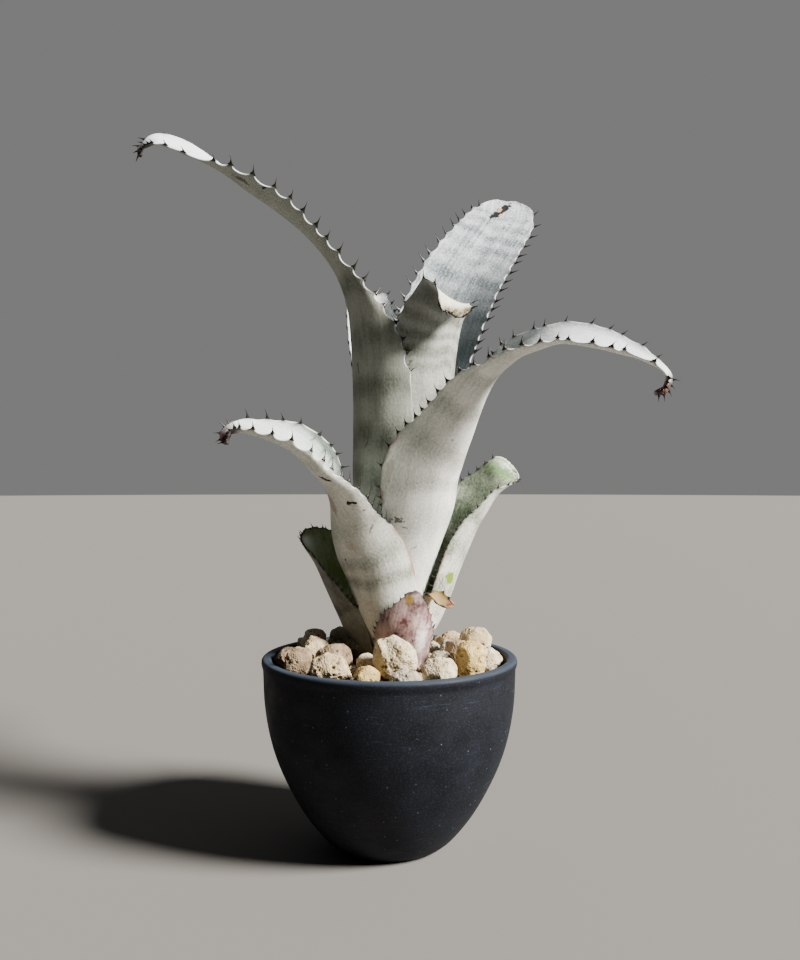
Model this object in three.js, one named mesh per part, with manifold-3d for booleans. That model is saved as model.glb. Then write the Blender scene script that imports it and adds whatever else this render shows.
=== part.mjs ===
// A potted Amazonian zebra plant: a silver-banded tank bromeliad in a black bowl pot topped with pumice.
// Millimetres, +Z up. The origin is the centre of the pot's flat base, and -Y is the front.
import * as THREE from "three";
import { mergeVertices } from "three/addons/utils/BufferGeometryUtils.js";
import Module from "manifold-3d";

const wasm = await Module();
wasm.setup();

// Pot: a moulded bowl with a thick flat rim and four drain holes beside the middle of its base
const POT_HEIGHT = 77;
const RIM_RADIUS = 52.5;
const RIM_WIDTH = 4.2;
const RIM_BAND = 5;
const RIM_STEP = 0.7;
const BASE_RADIUS = 22;
const WALL = 3;
const BASE_THICKNESS = 3.5;
const DRAIN_RADIUS = 3;
const DRAIN_CIRCLE = 13;
const DRAIN_COUNT = 4;
const POT_SIDES = 44;
const BOWL_STEPS = 9;
// The bowl's outside as [radius, height] from the base to the band
const BOWL_PROFILE = [[22, 0], [27.8, 5], [35.2, 14.5], [41.2, 25], [46.1, 36], [49.3, 47], [51.2, 59], [51.8, 72]];

// Potting mix: a low mound with a plain round hole that the plant's base stands in
const SEAT_GAP = 0.3;
const MOUND_TOP = 75;
const MOUND_EDGE = 70;
const HOLE_RADIUS = 17;
const HOLE_FLOOR = 54;

// Plant: its axis leans a little to the right, and its leaf sheaths nest round it in layers like a funnel
const CROWN = 70;
const AXIS_AT_CROWN = 3.1;
const AXIS_LEAN = 0.043;
const CORE_RADIUS = 4.2;
const FLARE = 14.8;
const FLARE_FROM = 88;
const FLARE_TO = 158;
const LAYER_PITCH = 1.4;
const STEM_RADIUS = 14;
const STEM_TIP_RADIUS = 7;
const SHEATH_HEIGHTS = [70, 76, 83, 91, 100, 111, 124, 138, 150];

// Leaf blades
const MID_THICKNESS = 1.1;
const EDGE_THICKNESS = 0.7;
const SHEATH_ROW = 8;
const THORN = 3;
const TOOTH_BASE = 2.2;
const TOOTH_SWEEP = 0.3;
const SCALLOP = 0.45;
const WIDE_PITCH = 5.8;
const TIP_CLEAR = 0.3;
const TIP_ROWS = [0.5, 0.85, 1];
const TIP_WIDTH = 1.6;
const RAIL_SAMPLES = 240;

// Pumice top dressing
const CHIP_SEED = 11;
const CHIP_COUNT = 36;
const CHIP_ATTEMPTS = 9000;
const CHIP_ROUGHNESS = 0.12;
const CHIP_TIP = 0.3;
const CHIP_GAP = 0.4;
const LARGEST_FILL = 15;
const SMALLEST_FILL = 6.5;
const PLANT_CLEARANCE = 18.5;
const PLANT_SPREAD = 0.55;

const degrees = THREE.MathUtils.degToRad;
const lerp = THREE.MathUtils.lerp;

const finish = (color, roughness) => new THREE.MeshStandardMaterial({ color, roughness, metalness: 0 });
const BLACK_POT = finish("#1b1d21", 0.62);
const POTTING_MIX = finish("#4a3f33", 0.95);
const STEM_TISSUE = finish("#7d6a52", 0.9);
const SILVER_LEAF = finish("#b9c0b6", 0.6);
const PINK_SHEATH = finish("#c9b2b0", 0.65);
const PUMICE = finish("#cdbd9e", 0.95);

// A small repeatable source of numbers from 0 to 1.
function randomFrom(seed) {
  let state = seed >>> 0;
  return () => {
    state = (state * 1664525 + 1013904223) >>> 0;
    return state / 4294967296;
  };
}

// A closed geometry as a solid that can be joined and cut.
function solidOf(geometry) {
  const bare = new THREE.BufferGeometry();
  bare.setAttribute("position", geometry.getAttribute("position"));
  if (geometry.index) bare.setIndex(geometry.index);
  const merged = mergeVertices(bare, 1e-4);
  return new wasm.Manifold(
    new wasm.Mesh({
      numProp: 3,
      vertProperties: new Float32Array(merged.attributes.position.array),
      triVerts: new Uint32Array(merged.index.array),
    }),
  );
}

// The solid's surface as a geometry again.
function geometryOf(solid) {
  const mesh = solid.getMesh();
  const geometry = new THREE.BufferGeometry();
  geometry.setAttribute("position", new THREE.BufferAttribute(mesh.vertProperties, 3));
  geometry.setIndex(new THREE.BufferAttribute(mesh.triVerts, 1));
  geometry.computeVertexNormals();
  return geometry;
}

function named(name, geometry, material) {
  const mesh = new THREE.Mesh(geometry, material);
  mesh.name = name;
  return mesh;
}

// A body of revolution about Z from [radius, height] pairs that run from the bottom up.
function turned(profile, sides) {
  const points = profile.map(([radius, height]) => new THREE.Vector2(radius, height));
  return new THREE.LatheGeometry(points, sides).rotateX(Math.PI / 2);
}

// The bowl's outer radius at a height, between the two stations of the profile that the height falls in.
function bowlRadius(height) {
  const above = Math.max(1, BOWL_PROFILE.findIndex((station) => station[1] >= height));
  const [[lowRadius, low], [highRadius, high]] = BOWL_PROFILE.slice(above - 1, above + 1);
  return THREE.MathUtils.mapLinear(height, low, high, lowRadius, highRadius);
}

function makePot() {
  const bandBottom = POT_HEIGHT - RIM_BAND;
  const outside = [[0, 0]];
  outside.push(...BOWL_PROFILE);
  outside.push([RIM_RADIUS, bandBottom + RIM_STEP]);
  outside.push([RIM_RADIUS, POT_HEIGHT - 1]);
  outside.push([RIM_RADIUS - 1, POT_HEIGHT]);
  outside.push([RIM_RADIUS - RIM_WIDTH + 1, POT_HEIGHT]);
  outside.push([RIM_RADIUS - RIM_WIDTH, POT_HEIGHT - 1]);
  for (let i = BOWL_STEPS - 1; i >= 1; i--) {
    const height = lerp(BASE_THICKNESS, bandBottom, (i / BOWL_STEPS) ** 1.25);
    outside.push([bowlRadius(height) - WALL, height]);
  }
  outside.push([BASE_RADIUS - WALL, BASE_THICKNESS]);
  outside.push([0, BASE_THICKNESS]);
  let pot = solidOf(turned(outside, POT_SIDES));
  for (let i = 0; i < DRAIN_COUNT; i++) {
    const angle = ((i + 0.5) * 2 * Math.PI) / DRAIN_COUNT;
    const drill = new THREE.CylinderGeometry(DRAIN_RADIUS, DRAIN_RADIUS, 4 * BASE_THICKNESS, 14);
    drill.rotateX(Math.PI / 2).translate(DRAIN_CIRCLE * Math.cos(angle), DRAIN_CIRCLE * Math.sin(angle), 0);
    pot = pot.subtract(solidOf(drill));
  }
  return named("pot", geometryOf(pot), BLACK_POT);
}

// The potting mix's height at a distance from the pot's axis: a shallow parabola.
function moundHeight(distance) {
  const share = distance / (RIM_RADIUS - RIM_WIDTH);
  return lerp(MOUND_TOP, MOUND_EDGE, share * share);
}

function makeMix() {
  const profile = [[0, BASE_THICKNESS + SEAT_GAP]];
  const bandBottom = POT_HEIGHT - RIM_BAND;
  profile.push([BASE_RADIUS - WALL - SEAT_GAP, BASE_THICKNESS + SEAT_GAP]);
  for (let i = 1; i < BOWL_STEPS; i++) {
    const height = lerp(BASE_THICKNESS, bandBottom, (i / BOWL_STEPS) ** 1.25);
    profile.push([bowlRadius(height) - WALL - 2 * SEAT_GAP, height]);
  }
  const edge = RIM_RADIUS - RIM_WIDTH - 2 * SEAT_GAP;
  for (const share of [1, 0.85, 0.65, 0.4]) profile.push([edge * share, moundHeight(edge * share)]);
  profile.push([0, moundHeight(0)]);
  const hole = turned(
    [
      [0, HOLE_FLOOR - SEAT_GAP],
      [STEM_TIP_RADIUS + SEAT_GAP, HOLE_FLOOR - SEAT_GAP],
      [HOLE_RADIUS, CROWN - 3],
      [HOLE_RADIUS, MOUND_TOP + 5],
      [0, MOUND_TOP + 5],
    ],
    32,
  ).translate(axisX(CROWN), 0, 0);
  const mix = solidOf(turned(profile, 32)).subtract(solidOf(hole));
  return named("potting_mix", geometryOf(mix), POTTING_MIX);
}

// The short stem under the leaves, sunk in the mix; the sheaths stand on its flat top.
function makeStem() {
  const profile = [
    [0, HOLE_FLOOR],
    [STEM_TIP_RADIUS - 1, HOLE_FLOOR],
    [STEM_TIP_RADIUS, HOLE_FLOOR + 3],
    [STEM_RADIUS - 3, CROWN - 5],
    [STEM_RADIUS, CROWN - 2],
    [STEM_RADIUS, CROWN - SEAT_GAP],
    [0, CROWN - SEAT_GAP],
  ];
  return named("stem", turned(profile, 28).translate(axisX(CROWN), 0, 0), STEM_TISSUE);
}

// The plant axis's x at a height.
function axisX(height) {
  return AXIS_AT_CROWN + AXIS_LEAN * (height - CROWN);
}

// The radius of a sheath layer at a height: a narrow neck that widens smoothly into the funnel.
function sheathRadius(height, layer) {
  return CORE_RADIUS + FLARE * THREE.MathUtils.smoothstep(height, FLARE_FROM, FLARE_TO) + layer * LAYER_PITCH;
}

// Leaves from the innermost layer outwards. The sheath is centred on azimuth and reaches wrap degrees to
// each side, as high as sheathTop. Each blade station is
// [x, y, z, width along the arc, cup as the arc's half angle, azimuth and elevation the upper face looks to].
// teeth gives where they start along the blade and their spacing there and at the tip.
const LEAVES = [
  {
    name: "leaf_heart", layer: 0, azimuth: -65, wrap: 72, sheathTop: 150,
    blade: [
      [14.4, -16.2, 170, 39, 64, 115, 0],
      [15.6, -16.4, 188, 37, 56, 115, 0],
      [17, -16.5, 203, 34, 49, 113, 4],
      [18.6, -17.5, 213, 30, 40, 108, 20],
      [20.8, -19.5, 219.5, 24, 28, 78, 50],
      [23.6, -23.5, 220, 18, 16, 0, 72],
      [25.4, -26.5, 216, 12, 10, -50, 40],
    ],
    teeth: [76, 4.8, 4.8], tip: 5, material: SILVER_LEAF,
  },
  {
    name: "leaf_back", layer: 1, azimuth: 82, wrap: 60, sheathTop: 150,
    blade: [
      [11.5, 17.6, 172, 37, 48, -94, 0],
      [16, 19.5, 195, 38, 36, -97, 4],
      [23, 23.8, 218, 40, 27, -100, 8],
      [31.2, 29, 237, 38.5, 20, -98, 14],
      [39.3, 34.5, 251.5, 36, 15, -93, 22],
      [46.5, 41, 263, 33, 12, -87, 34],
      [52, 48, 272, 29, 10, -78, 50],
      [56, 56, 278, 24, 10, -30, 72],
      [59, 65, 278, 17, 10, 40, 68],
    ],
    teeth: [100, 5, 5.4], tip: 8, material: SILVER_LEAF,
  },
  {
    name: "leaf_tall_left", layer: 2, azimuth: 196, wrap: 80, sheathTop: 150,
    blade: [
      [-13.6, -6.6, 170, 58, 84, 18, 0],
      [-13.8, -6.4, 190, 56, 82, 18, 0],
      [-14.6, -5.5, 206, 49, 75, 16, 6],
      [-17, -4, 222, 33, 60, 10, 22],
      [-23, -4.6, 236, 22, 46, 4, 32],
      [-32.5, -7, 248, 18.5, 38, 4, 45],
      [-43, -11, 256.8, 20, 36, 11, 56],
      [-54.5, -16, 263.8, 21, 33, 8, 60],
      [-66, -21, 270.7, 18, 26, -17, 58],
      [-78, -27, 275.8, 15, 17, -46, 47],
      [-87, -31, 277.8, 11, 17, -71, 48],
      [-92.5, -33, 275, 6, 24, -116, 52],
    ],
    teeth: [122, 5.4, 9.6], tip: 4, material: SILVER_LEAF,
  },
  {
    name: "leaf_front_right", layer: 3, azimuth: -50, wrap: 65, sheathTop: 138,
    blade: [
      [20.8, -18.3, 152, 50, 65, 130, 10],
      [28.5, -21.5, 167, 41, 68, 134, 25],
      [36, -26, 181.5, 36, 70, 152, 33],
      [41, -29, 188.8, 31, 68, 169, 42],
      [45, -32.5, 192.7, 28, 62, -173, 48],
      [50.5, -36, 196.8, 25, 48, -161, 54],
      [56.5, -39.5, 199, 23, 36, -143, 58],
      [65, -43, 201.3, 21.5, 24, -114, 62],
      [76, -48.8, 198.7, 20.5, 20, -84, 61],
      [85.3, -52.4, 194.9, 16, 20, -70, 61],
      [91, -56.6, 191.8, 10, 20, -59, 56],
      [97, -58, 187.5, 5, 24, -49, 49],
    ],
    teeth: [70, 4.8, 8.4], tip: 3, material: SILVER_LEAF,
  },
  {
    name: "leaf_back_left", layer: 3, azimuth: 118, wrap: 42, sheathTop: 150,
    blade: [
      [-4.5, 22, 172, 30, 38, -62, 0],
      [-6.5, 25, 195, 25, 30, -60, 2],
      [-8.5, 28.5, 210, 23, 26, -60, 10],
      [-11, 33.5, 222, 22, 22, -62, 28],
      [-12.5, 40, 228.5, 19, 16, -60, 62],
      [-14, 47, 228.5, 15, 12, 110, 70],
      [-15, 53, 224, 10, 10, 112, 46],
    ],
    teeth: [120, 5, 6], tip: 7, material: SILVER_LEAF,
  },
  {
    name: "leaf_front_left", layer: 4, azimuth: -112, wrap: 72, sheathTop: 76,
    blade: [
      [-1.5, -12, 86, 29, 70, 68, 0],
      [-3.5, -14.5, 95, 34, 70, 68, 0],
      [-6, -16.5, 106, 37, 66, 68, 0],
      [-9.5, -19, 117, 36, 60, 66, 0],
      [-17, -22.5, 130, 31, 62, 54, 8],
      [-22, -27, 141.5, 28, 68, 38, 26],
      [-25.5, -31, 149, 26, 72, 14, 33],
      [-29.5, -35, 155, 26, 68, -10, 34],
      [-34.5, -40, 160.3, 25, 56, -19, 42],
      [-39.5, -43.5, 163.4, 22, 40, -26, 53],
      [-45, -46.5, 165.5, 19, 26, -36, 61],
      [-51.5, -49.5, 167, 14, 20, -62, 68],
      [-56.5, -52, 166, 8, 24, -130, 56],
      [-57.5, -53, 162, 4, 30, -158, 20],
    ],
    teeth: [56, 4.2, 6.4], tip: 3, material: SILVER_LEAF,
  },
  {
    name: "leaf_right", layer: 4, azimuth: 22, wrap: 54, sheathTop: 76,
    blade: [
      [16.5, 4, 84, 23, 52, -170, 20],
      [21, 4, 91, 27, 58, 174, 26],
      [25, 4.5, 100, 31, 66, 176, 22],
      [28.2, 5.2, 109, 32, 70, 178, 21],
      [32.3, 6, 119, 32, 71, 180, 22],
      [36.6, 7, 130, 31, 68, -171, 24],
      [40, 8, 136.7, 29, 62, -161, 30],
      [43.6, 9, 142.5, 26, 52, -152, 41],
      [47.6, 11, 147, 23, 40, -136, 52],
      [51, 13, 150, 20, 28, -124, 56],
      [53.6, 15, 152.8, 17, 22, -124, 52],
    ],
    teeth: [30, 3.8, 4.2], tip: 5, material: SILVER_LEAF,
  },
  {
    name: "leaf_left", layer: 5, azimuth: 172, wrap: 46, sheathTop: 76,
    blade: [
      [-17.5, 1.5, 85, 24, 46, -8, 28],
      [-21.5, 2.5, 93, 26, 46, -12, 24],
      [-26, 4, 104, 26, 44, -18, 23],
      [-29.6, 6, 114, 25, 38, -22, 26],
      [-33, 7.8, 121.5, 23, 30, -27, 34],
      [-36.6, 9.5, 128.5, 20, 22, -29, 36],
    ],
    teeth: [24, 4.2, 3.8], tip: 6, material: SILVER_LEAF,
  },
  {
    name: "stub_right", layer: 5, azimuth: -35, wrap: 24, sheathTop: 76,
    blade: [
      [14.3, -9.3, 84, 10, 26, 128, 0],
      [16.8, -10.6, 92, 11, 28, 130, 4],
      [19, -12, 98.5, 12, 26, 132, 24],
      [21.8, -13.6, 102.3, 9.5, 20, 120, 60],
      [25.6, -15.3, 103.3, 5, 16, -110, 84],
    ],
    teeth: [26, 4, 4], tip: 3, material: SILVER_LEAF,
  },
  {
    name: "stub_front", layer: 6, azimuth: -78, wrap: 58, sheathTop: 76,
    blade: [
      [8.3, -17.6, 85, 28, 50, 99, 0],
      [8.8, -20.3, 92, 24.8, 44, 99, 0],
      [9.6, -20.8, 98.5, 17, 32, 98, 0],
      [10.4, -20.8, 105, 8, 20, 98, 0],
    ],
    teeth: [9, 3.2, 3.2], tip: 2, material: PINK_SHEATH,
  },
];

// The stations of a leaf's sheath: arcs round the plant's axis, level, and as wide as the wrap.
function sheathStations({ layer, azimuth, wrap, sheathTop }) {
  const angle = degrees(azimuth);
  return SHEATH_HEIGHTS.filter((height) => height <= sheathTop).map((height) => {
    const radius = sheathRadius(height, layer);
    return {
      place: new THREE.Vector3(axisX(height) + radius * Math.cos(angle), radius * Math.sin(angle), height),
      face: new THREE.Vector3(-Math.cos(angle), -Math.sin(angle), 0),
      form: new THREE.Vector3(2 * radius * degrees(wrap), degrees(wrap), 0),
    };
  });
}

// The free blade's stations. Their last form value, 1, squares the cross-section to the midrib.
function bladeStations({ blade }) {
  return blade.map(([x, y, z, width, cup, faceAzimuth, faceElevation]) => {
    const around = degrees(faceAzimuth);
    const up = degrees(faceElevation);
    return {
      place: new THREE.Vector3(x, y, z),
      face: new THREE.Vector3(Math.cos(around) * Math.cos(up), Math.sin(around) * Math.cos(up), Math.sin(up)),
      form: new THREE.Vector3(width, degrees(cup), 1),
    };
  });
}

// A leaf's surface as a function of the distance along its midrib and of across, from -1 to 1.
class Blade {
  constructor(leaf) {
    const stations = [...sheathStations(leaf), ...bladeStations(leaf)];
    const through = (key) =>
      new THREE.CatmullRomCurve3(stations.map((station) => station[key]), false, "catmullrom", 0.5);
    this.leaf = leaf;
    this.place = through("place");
    this.face = through("face");
    this.form = through("form");
    this.place.arcLengthDivisions = RAIL_SAMPLES;
    this.length = this.place.getLength();
  }

  // The cross-section is an arc that opens towards the upper face.
  at(along, across, bulge = 0) {
    const t = this.place.getUtoTmapping(along / this.length);
    const tangent = this.place.getTangent(t);
    const face = this.face.getPoint(t).normalize();
    const { x: arcWidth, y: cup, z: square } = this.form.getPoint(t);
    const guide = new THREE.Vector3(0, 0, 1).lerp(tangent, square).normalize();
    const side = new THREE.Vector3().crossVectors(guide, face).normalize();
    const squared = new THREE.Vector3().crossVectors(side, guide);
    const opening = face.lerp(squared, square).normalize();
    const width = Math.max(arcWidth * this.tipShare(along), TIP_WIDTH) + 2 * bulge;
    const radius = width / (2 * cup);
    const turn = across * cup;
    return {
      point: this.place
        .getPoint(t)
        .addScaledVector(side, radius * Math.sin(turn))
        .addScaledVector(opening, radius * (1 - Math.cos(turn))),
      outward: side
        .clone()
        .multiplyScalar(Math.cos(turn))
        .addScaledVector(opening, Math.sin(turn))
        .multiplyScalar(Math.sign(across)),
      tangent,
    };
  }

  // The share of its width that the blade keeps near the rounded tip: a quarter ellipse.
  tipShare(along) {
    const into = THREE.MathUtils.clamp((along - this.length + this.leaf.tip) / this.leaf.tip, 0, 1);
    return Math.sqrt(1 - into * into);
  }

  // The unit normal on the upper face, from the surface's two directions.
  normal(along, across) {
    const step = 0.05;
    const low = Math.max(along - step, 0);
    const high = Math.min(along + step, this.length);
    const lengthwise = this.at(high, across).point.sub(this.at(low, across).point);
    const crosswise = this.at(along, across + step).point.sub(this.at(along, across - step).point);
    return crosswise.cross(lengthwise).normalize();
  }

  // The rows that the surface is drawn on; a toothed row starts a tooth on each margin.
  rows() {
    const [first, nearPitch, farPitch] = this.leaf.teeth;
    const rows = [];
    const plain = Math.max(1, Math.round(first / SHEATH_ROW));
    for (let i = 0; i < plain; i++) rows.push({ along: (first * i) / plain, toothed: false });
    const last = this.length - this.leaf.tip * TIP_CLEAR - TOOTH_BASE;
    let along = first;
    while (along < last) {
      const share = (along - first) / (last - first);
      const pitch = lerp(nearPitch, farPitch, share);
      rows.push({ along, toothed: true, size: lerp(0.62, 1, Math.sin(Math.PI * Math.sqrt(share))) });
      rows.push({ along: along + TOOTH_BASE, toothed: false });
      const middle = along + (pitch + TOOTH_BASE) / 2;
      if (pitch > WIDE_PITCH && middle < last) rows.push({ along: middle, toothed: false, hollow: true });
      along += pitch;
    }
    const from = rows.at(-1).along;
    for (const share of TIP_ROWS) rows.push({ along: lerp(from, this.length, share), toothed: false });
    return rows;
  }
}

// A leaf as one closed body: upper and lower faces, thin margins, and a thorn on each toothed stretch.
function leafGeometry(leaf) {
  const blade = new Blade(leaf);
  const rows = blade.rows();
  const segments = leaf.wrap > 60 ? 6 : 4;
  const positions = [];
  const triangles = [];
  const addPoint = (point) => positions.push(point.x, point.y, point.z) / 3 - 1;
  const addQuad = (a, b, c, d) => triangles.push(a, b, c, a, c, d);
  const grid = rows.map(({ along, toothed, hollow }, index) => {
    const nearTooth = toothed || (index > 0 && rows[index - 1].toothed);
    const bulge = (nearTooth ? SCALLOP : 0) - (hollow ? SCALLOP : 0);
    return Array.from({ length: segments + 1 }, (unused, j) => {
      const across = (2 * j) / segments - 1;
      const half = lerp(MID_THICKNESS, EDGE_THICKNESS, across * across) / 2;
      const { point } = blade.at(along, across, bulge);
      const normal = blade.normal(along, across);
      return {
        upper: addPoint(point.clone().addScaledVector(normal, half)),
        lower: addPoint(point.clone().addScaledVector(normal, -half)),
      };
    });
  });
  const pointAt = (index) => new THREE.Vector3().fromArray(positions, 3 * index);
  const addMargin = (row, j) => {
    const corners = [grid[row][j].upper, grid[row][j].lower, grid[row + 1][j].lower, grid[row + 1][j].upper];
    if (j === 0) corners.reverse();
    if (!rows[row].toothed) {
      addQuad(...corners);
      return;
    }
    const middle = corners.reduce((sum, c) => sum.add(pointAt(c)), new THREE.Vector3()).divideScalar(4);
    const { outward, tangent } = blade.at(rows[row].along + TOOTH_BASE / 2, j === 0 ? -1 : 1);
    const height = leaf.thorn * rows[row].size;
    const apex = addPoint(
      middle.addScaledVector(outward, height).addScaledVector(tangent, TOOTH_SWEEP * height),
    );
    corners.forEach((corner, k) => triangles.push(corner, corners[(k + 1) % 4], apex));
  };
  for (let row = 0; row + 1 < rows.length; row++) {
    for (let j = 0; j < segments; j++) {
      const [a, b, c, d] = [grid[row][j], grid[row][j + 1], grid[row + 1][j + 1], grid[row + 1][j]];
      addQuad(a.upper, b.upper, c.upper, d.upper);
      triangles.push(a.lower, c.lower, b.lower, a.lower, d.lower, c.lower);
    }
    addMargin(row, 0);
    addMargin(row, segments);
  }
  for (let j = 0; j < segments; j++) {
    const [a, b] = [grid[0][j], grid[0][j + 1]];
    const [c, d] = [grid.at(-1)[j], grid.at(-1)[j + 1]];
    addQuad(b.upper, a.upper, a.lower, b.lower);
    addQuad(c.upper, d.upper, d.lower, c.lower);
  }
  const geometry = new THREE.BufferGeometry();
  geometry.setAttribute("position", new THREE.Float32BufferAttribute(positions, 3));
  geometry.setIndex(triangles);
  geometry.computeVertexNormals();
  return geometry;
}

// The chips of pumice that show most, at the front and beside the leaves: [x, y, length, width, height, turn].
const PLACED_CHIPS = [
  [2, -31, 21, 15, 17, 8],
  [-22, -34, 17, 14, 13, -18],
  [-8, -42, 11.5, 8.5, 10, 20],
  [6.5, -43, 13, 7, 9, -6],
  [19, -37, 15, 11, 12, 24],
  [31.5, -27, 15, 11, 16, 52],
  [-35.5, -20.5, 14, 11, 12, 60],
  [-30, -7, 14, 11, 13, 76],
  [-32, 9, 14, 11, 14, 100],
  [27, -11, 9, 8, 13, 0],
  [39, -12, 13, 9, 11, 84],
];

// A chip's shape: a coarse ball that is knocked about a little, stretched along three axes and tipped.
function chipGeometry([length, width, height], turn, random) {
  const ball = mergeVertices(new THREE.IcosahedronGeometry(0.5, 1).deleteAttribute("normal").deleteAttribute("uv"), 1e-4);
  const corners = ball.getAttribute("position");
  const corner = new THREE.Vector3();
  for (let i = 0; i < corners.count; i++) {
    corner.fromBufferAttribute(corners, i).multiplyScalar(1 + CHIP_ROUGHNESS * (2 * random() - 1));
    corners.setXYZ(i, corner.x, corner.y, corner.z);
  }
  const tip = () => CHIP_TIP * (2 * random() - 1);
  return ball.scale(length, width, height).rotateX(tip()).rotateY(tip()).rotateZ(turn);
}

function cornersOf(geometry) {
  const attribute = geometry.getAttribute("position");
  return Array.from({ length: attribute.count }, (unused, i) => new THREE.Vector3().fromBufferAttribute(attribute, i));
}

// A chip moved to a place on the mound, just above the mix.
function restedChip(geometry, x, y) {
  geometry.translate(x, y, 0);
  const corners = cornersOf(geometry);
  const lift = Math.max(...corners.map((corner) => moundHeight(Math.hypot(corner.x, corner.y)) - corner.z));
  geometry.translate(0, 0, lift + SEAT_GAP);
  return { x, y, geometry, corners: cornersOf(geometry) };
}

// Two chips are clear of each other when an upright plane across the line between them has room to pass.
function chipsClear(one, other) {
  const dx = other.x - one.x;
  const dy = other.y - one.y;
  const reach = Math.hypot(dx, dy);
  const along = (corner) => (corner.x * dx + corner.y * dy) / reach;
  return Math.min(...other.corners.map(along)) - Math.max(...one.corners.map(along)) > CHIP_GAP;
}

// A chip fits when every corner is inside the pot's mouth and outside the cone that the leaves spread in.
function chipFits(chip, placed) {
  const inside = chip.corners.every((corner) => {
    const fromPlant = Math.hypot(corner.x - AXIS_AT_CROWN, corner.y);
    const keepOut = PLANT_CLEARANCE + PLANT_SPREAD * Math.max(0, corner.z - POT_HEIGHT);
    return Math.hypot(corner.x, corner.y) < RIM_RADIUS - RIM_WIDTH - CHIP_GAP && fromPlant > keepOut;
  });
  return inside && placed.every((other) => chipsClear(chip, other));
}

// The placed chips first, and then ever smaller ones wherever they fit until the ring is full.
function scatterChips() {
  const random = randomFrom(CHIP_SEED);
  const placed = PLACED_CHIPS.map(([x, y, length, width, height, turn]) =>
    restedChip(chipGeometry([length, width, height], degrees(turn), random), x, y),
  );
  for (let attempt = 0; attempt < CHIP_ATTEMPTS && placed.length < CHIP_COUNT; attempt++) {
    const size = lerp(LARGEST_FILL, SMALLEST_FILL, attempt / CHIP_ATTEMPTS);
    const lengths = [size * lerp(1, 1.25, random()), size * lerp(0.85, 1, random()), size * lerp(0.75, 0.95, random())];
    const angle = 2 * Math.PI * random();
    const reach = lerp(PLANT_CLEARANCE, RIM_RADIUS - RIM_WIDTH, Math.sqrt(random()));
    const geometry = chipGeometry(lengths, Math.PI * random(), random);
    const chip = restedChip(geometry, reach * Math.cos(angle), reach * Math.sin(angle));
    if (chipFits(chip, placed)) placed.push(chip);
  }
  return placed;
}

const plant = new THREE.Group();
plant.add(makePot(), makeMix(), makeStem());
for (const leaf of LEAVES) plant.add(named(leaf.name, leafGeometry({ thorn: THORN, ...leaf }), leaf.material));
scatterChips().forEach(({ geometry }, i) => {
  plant.add(named(`pumice_${String(i + 1).padStart(2, "0")}`, geometry, PUMICE));
});

export default plant;
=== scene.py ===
"""A potted zebra bromeliad: silver thorned leaves in a vase, a black bowl pot and a pumice top dressing.

Shapes are worked out in millimetres, with +Z up and the pot standing on z = 0, and stored in metres.
Leaf surfaces follow stations like those of the solids that they stand for, on a finer grid, with scalloped
margins, rounded edges and curved thorns.
"""
from __future__ import annotations

import logging
import math
from dataclasses import dataclass, field
from enum import Enum

import bpy
import numpy as np
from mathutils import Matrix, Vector

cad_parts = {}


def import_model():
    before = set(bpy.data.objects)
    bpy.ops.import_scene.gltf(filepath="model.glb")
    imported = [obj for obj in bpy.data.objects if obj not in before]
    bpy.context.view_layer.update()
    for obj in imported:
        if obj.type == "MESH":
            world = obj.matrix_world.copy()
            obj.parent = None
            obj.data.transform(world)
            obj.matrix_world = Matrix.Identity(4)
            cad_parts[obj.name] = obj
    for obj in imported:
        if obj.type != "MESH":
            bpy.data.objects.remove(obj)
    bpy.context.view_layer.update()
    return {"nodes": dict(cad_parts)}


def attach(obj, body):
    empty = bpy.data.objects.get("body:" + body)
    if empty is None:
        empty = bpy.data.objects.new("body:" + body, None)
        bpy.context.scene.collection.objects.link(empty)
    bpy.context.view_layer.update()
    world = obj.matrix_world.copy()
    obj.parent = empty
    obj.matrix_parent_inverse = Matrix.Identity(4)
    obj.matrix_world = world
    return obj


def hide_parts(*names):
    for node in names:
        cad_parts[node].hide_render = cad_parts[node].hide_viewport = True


LOG = logging.getLogger("potted_bromeliad")
MM = 0.001
IMAGE_WIDTH = 800
IMAGE_HEIGHT = 960
# Whole-number factors for x, y, z and seed, then shifts and factors that stir the bits of a 32-bit word
CELL_FACTORS = (374761393, 668265263, 1442695041, 1013904223)
STIRRING = ((13, 1274126177), (16, 2246822519))
LAST_SHIFT = 15
WORD = 0xFFFFFFFF
# How far each octave of noise is moved from the one before, in cells
OCTAVE_SHIFT = 17.3

Array = np.ndarray
Material = bpy.types.Material
Socket = bpy.types.NodeSocket
Tree = bpy.types.NodeTree


def linear(code: str) -> tuple[float, float, float, float]:
    """Turns an sRGB hex colour into linear RGBA.

    Args:
        code: six hex digits with a leading hash.

    Returns:
        The linear colour with alpha 1.
    """
    parts = [int(code[i:i + 2], 16) / 255 for i in (1, 3, 5)]
    red, green, blue = [c / 12.92 if c <= 0.04045 else ((c + 0.055) / 1.055) ** 2.4 for c in parts]
    return red, green, blue, 1.0


def add_node(tree: Tree, kind: str, inputs: dict | None = None, **settings: object) -> bpy.types.Node:
    """Adds a node with its settings, values and links.

    Args:
        tree: the node tree that gets the node.
        kind: the node's Blender type name.
        inputs: socket name or number to a value, or to the socket that feeds it.
        settings: properties of the node itself.

    Returns:
        The new node.
    """
    node = tree.nodes.new(kind)
    for key, value in settings.items():
        setattr(node, key, value)
    for key, value in (inputs or {}).items():
        socket = node.inputs[key]
        if isinstance(value, Socket):
            tree.links.new(value, socket)
        else:
            socket.default_value = value
    return node


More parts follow.
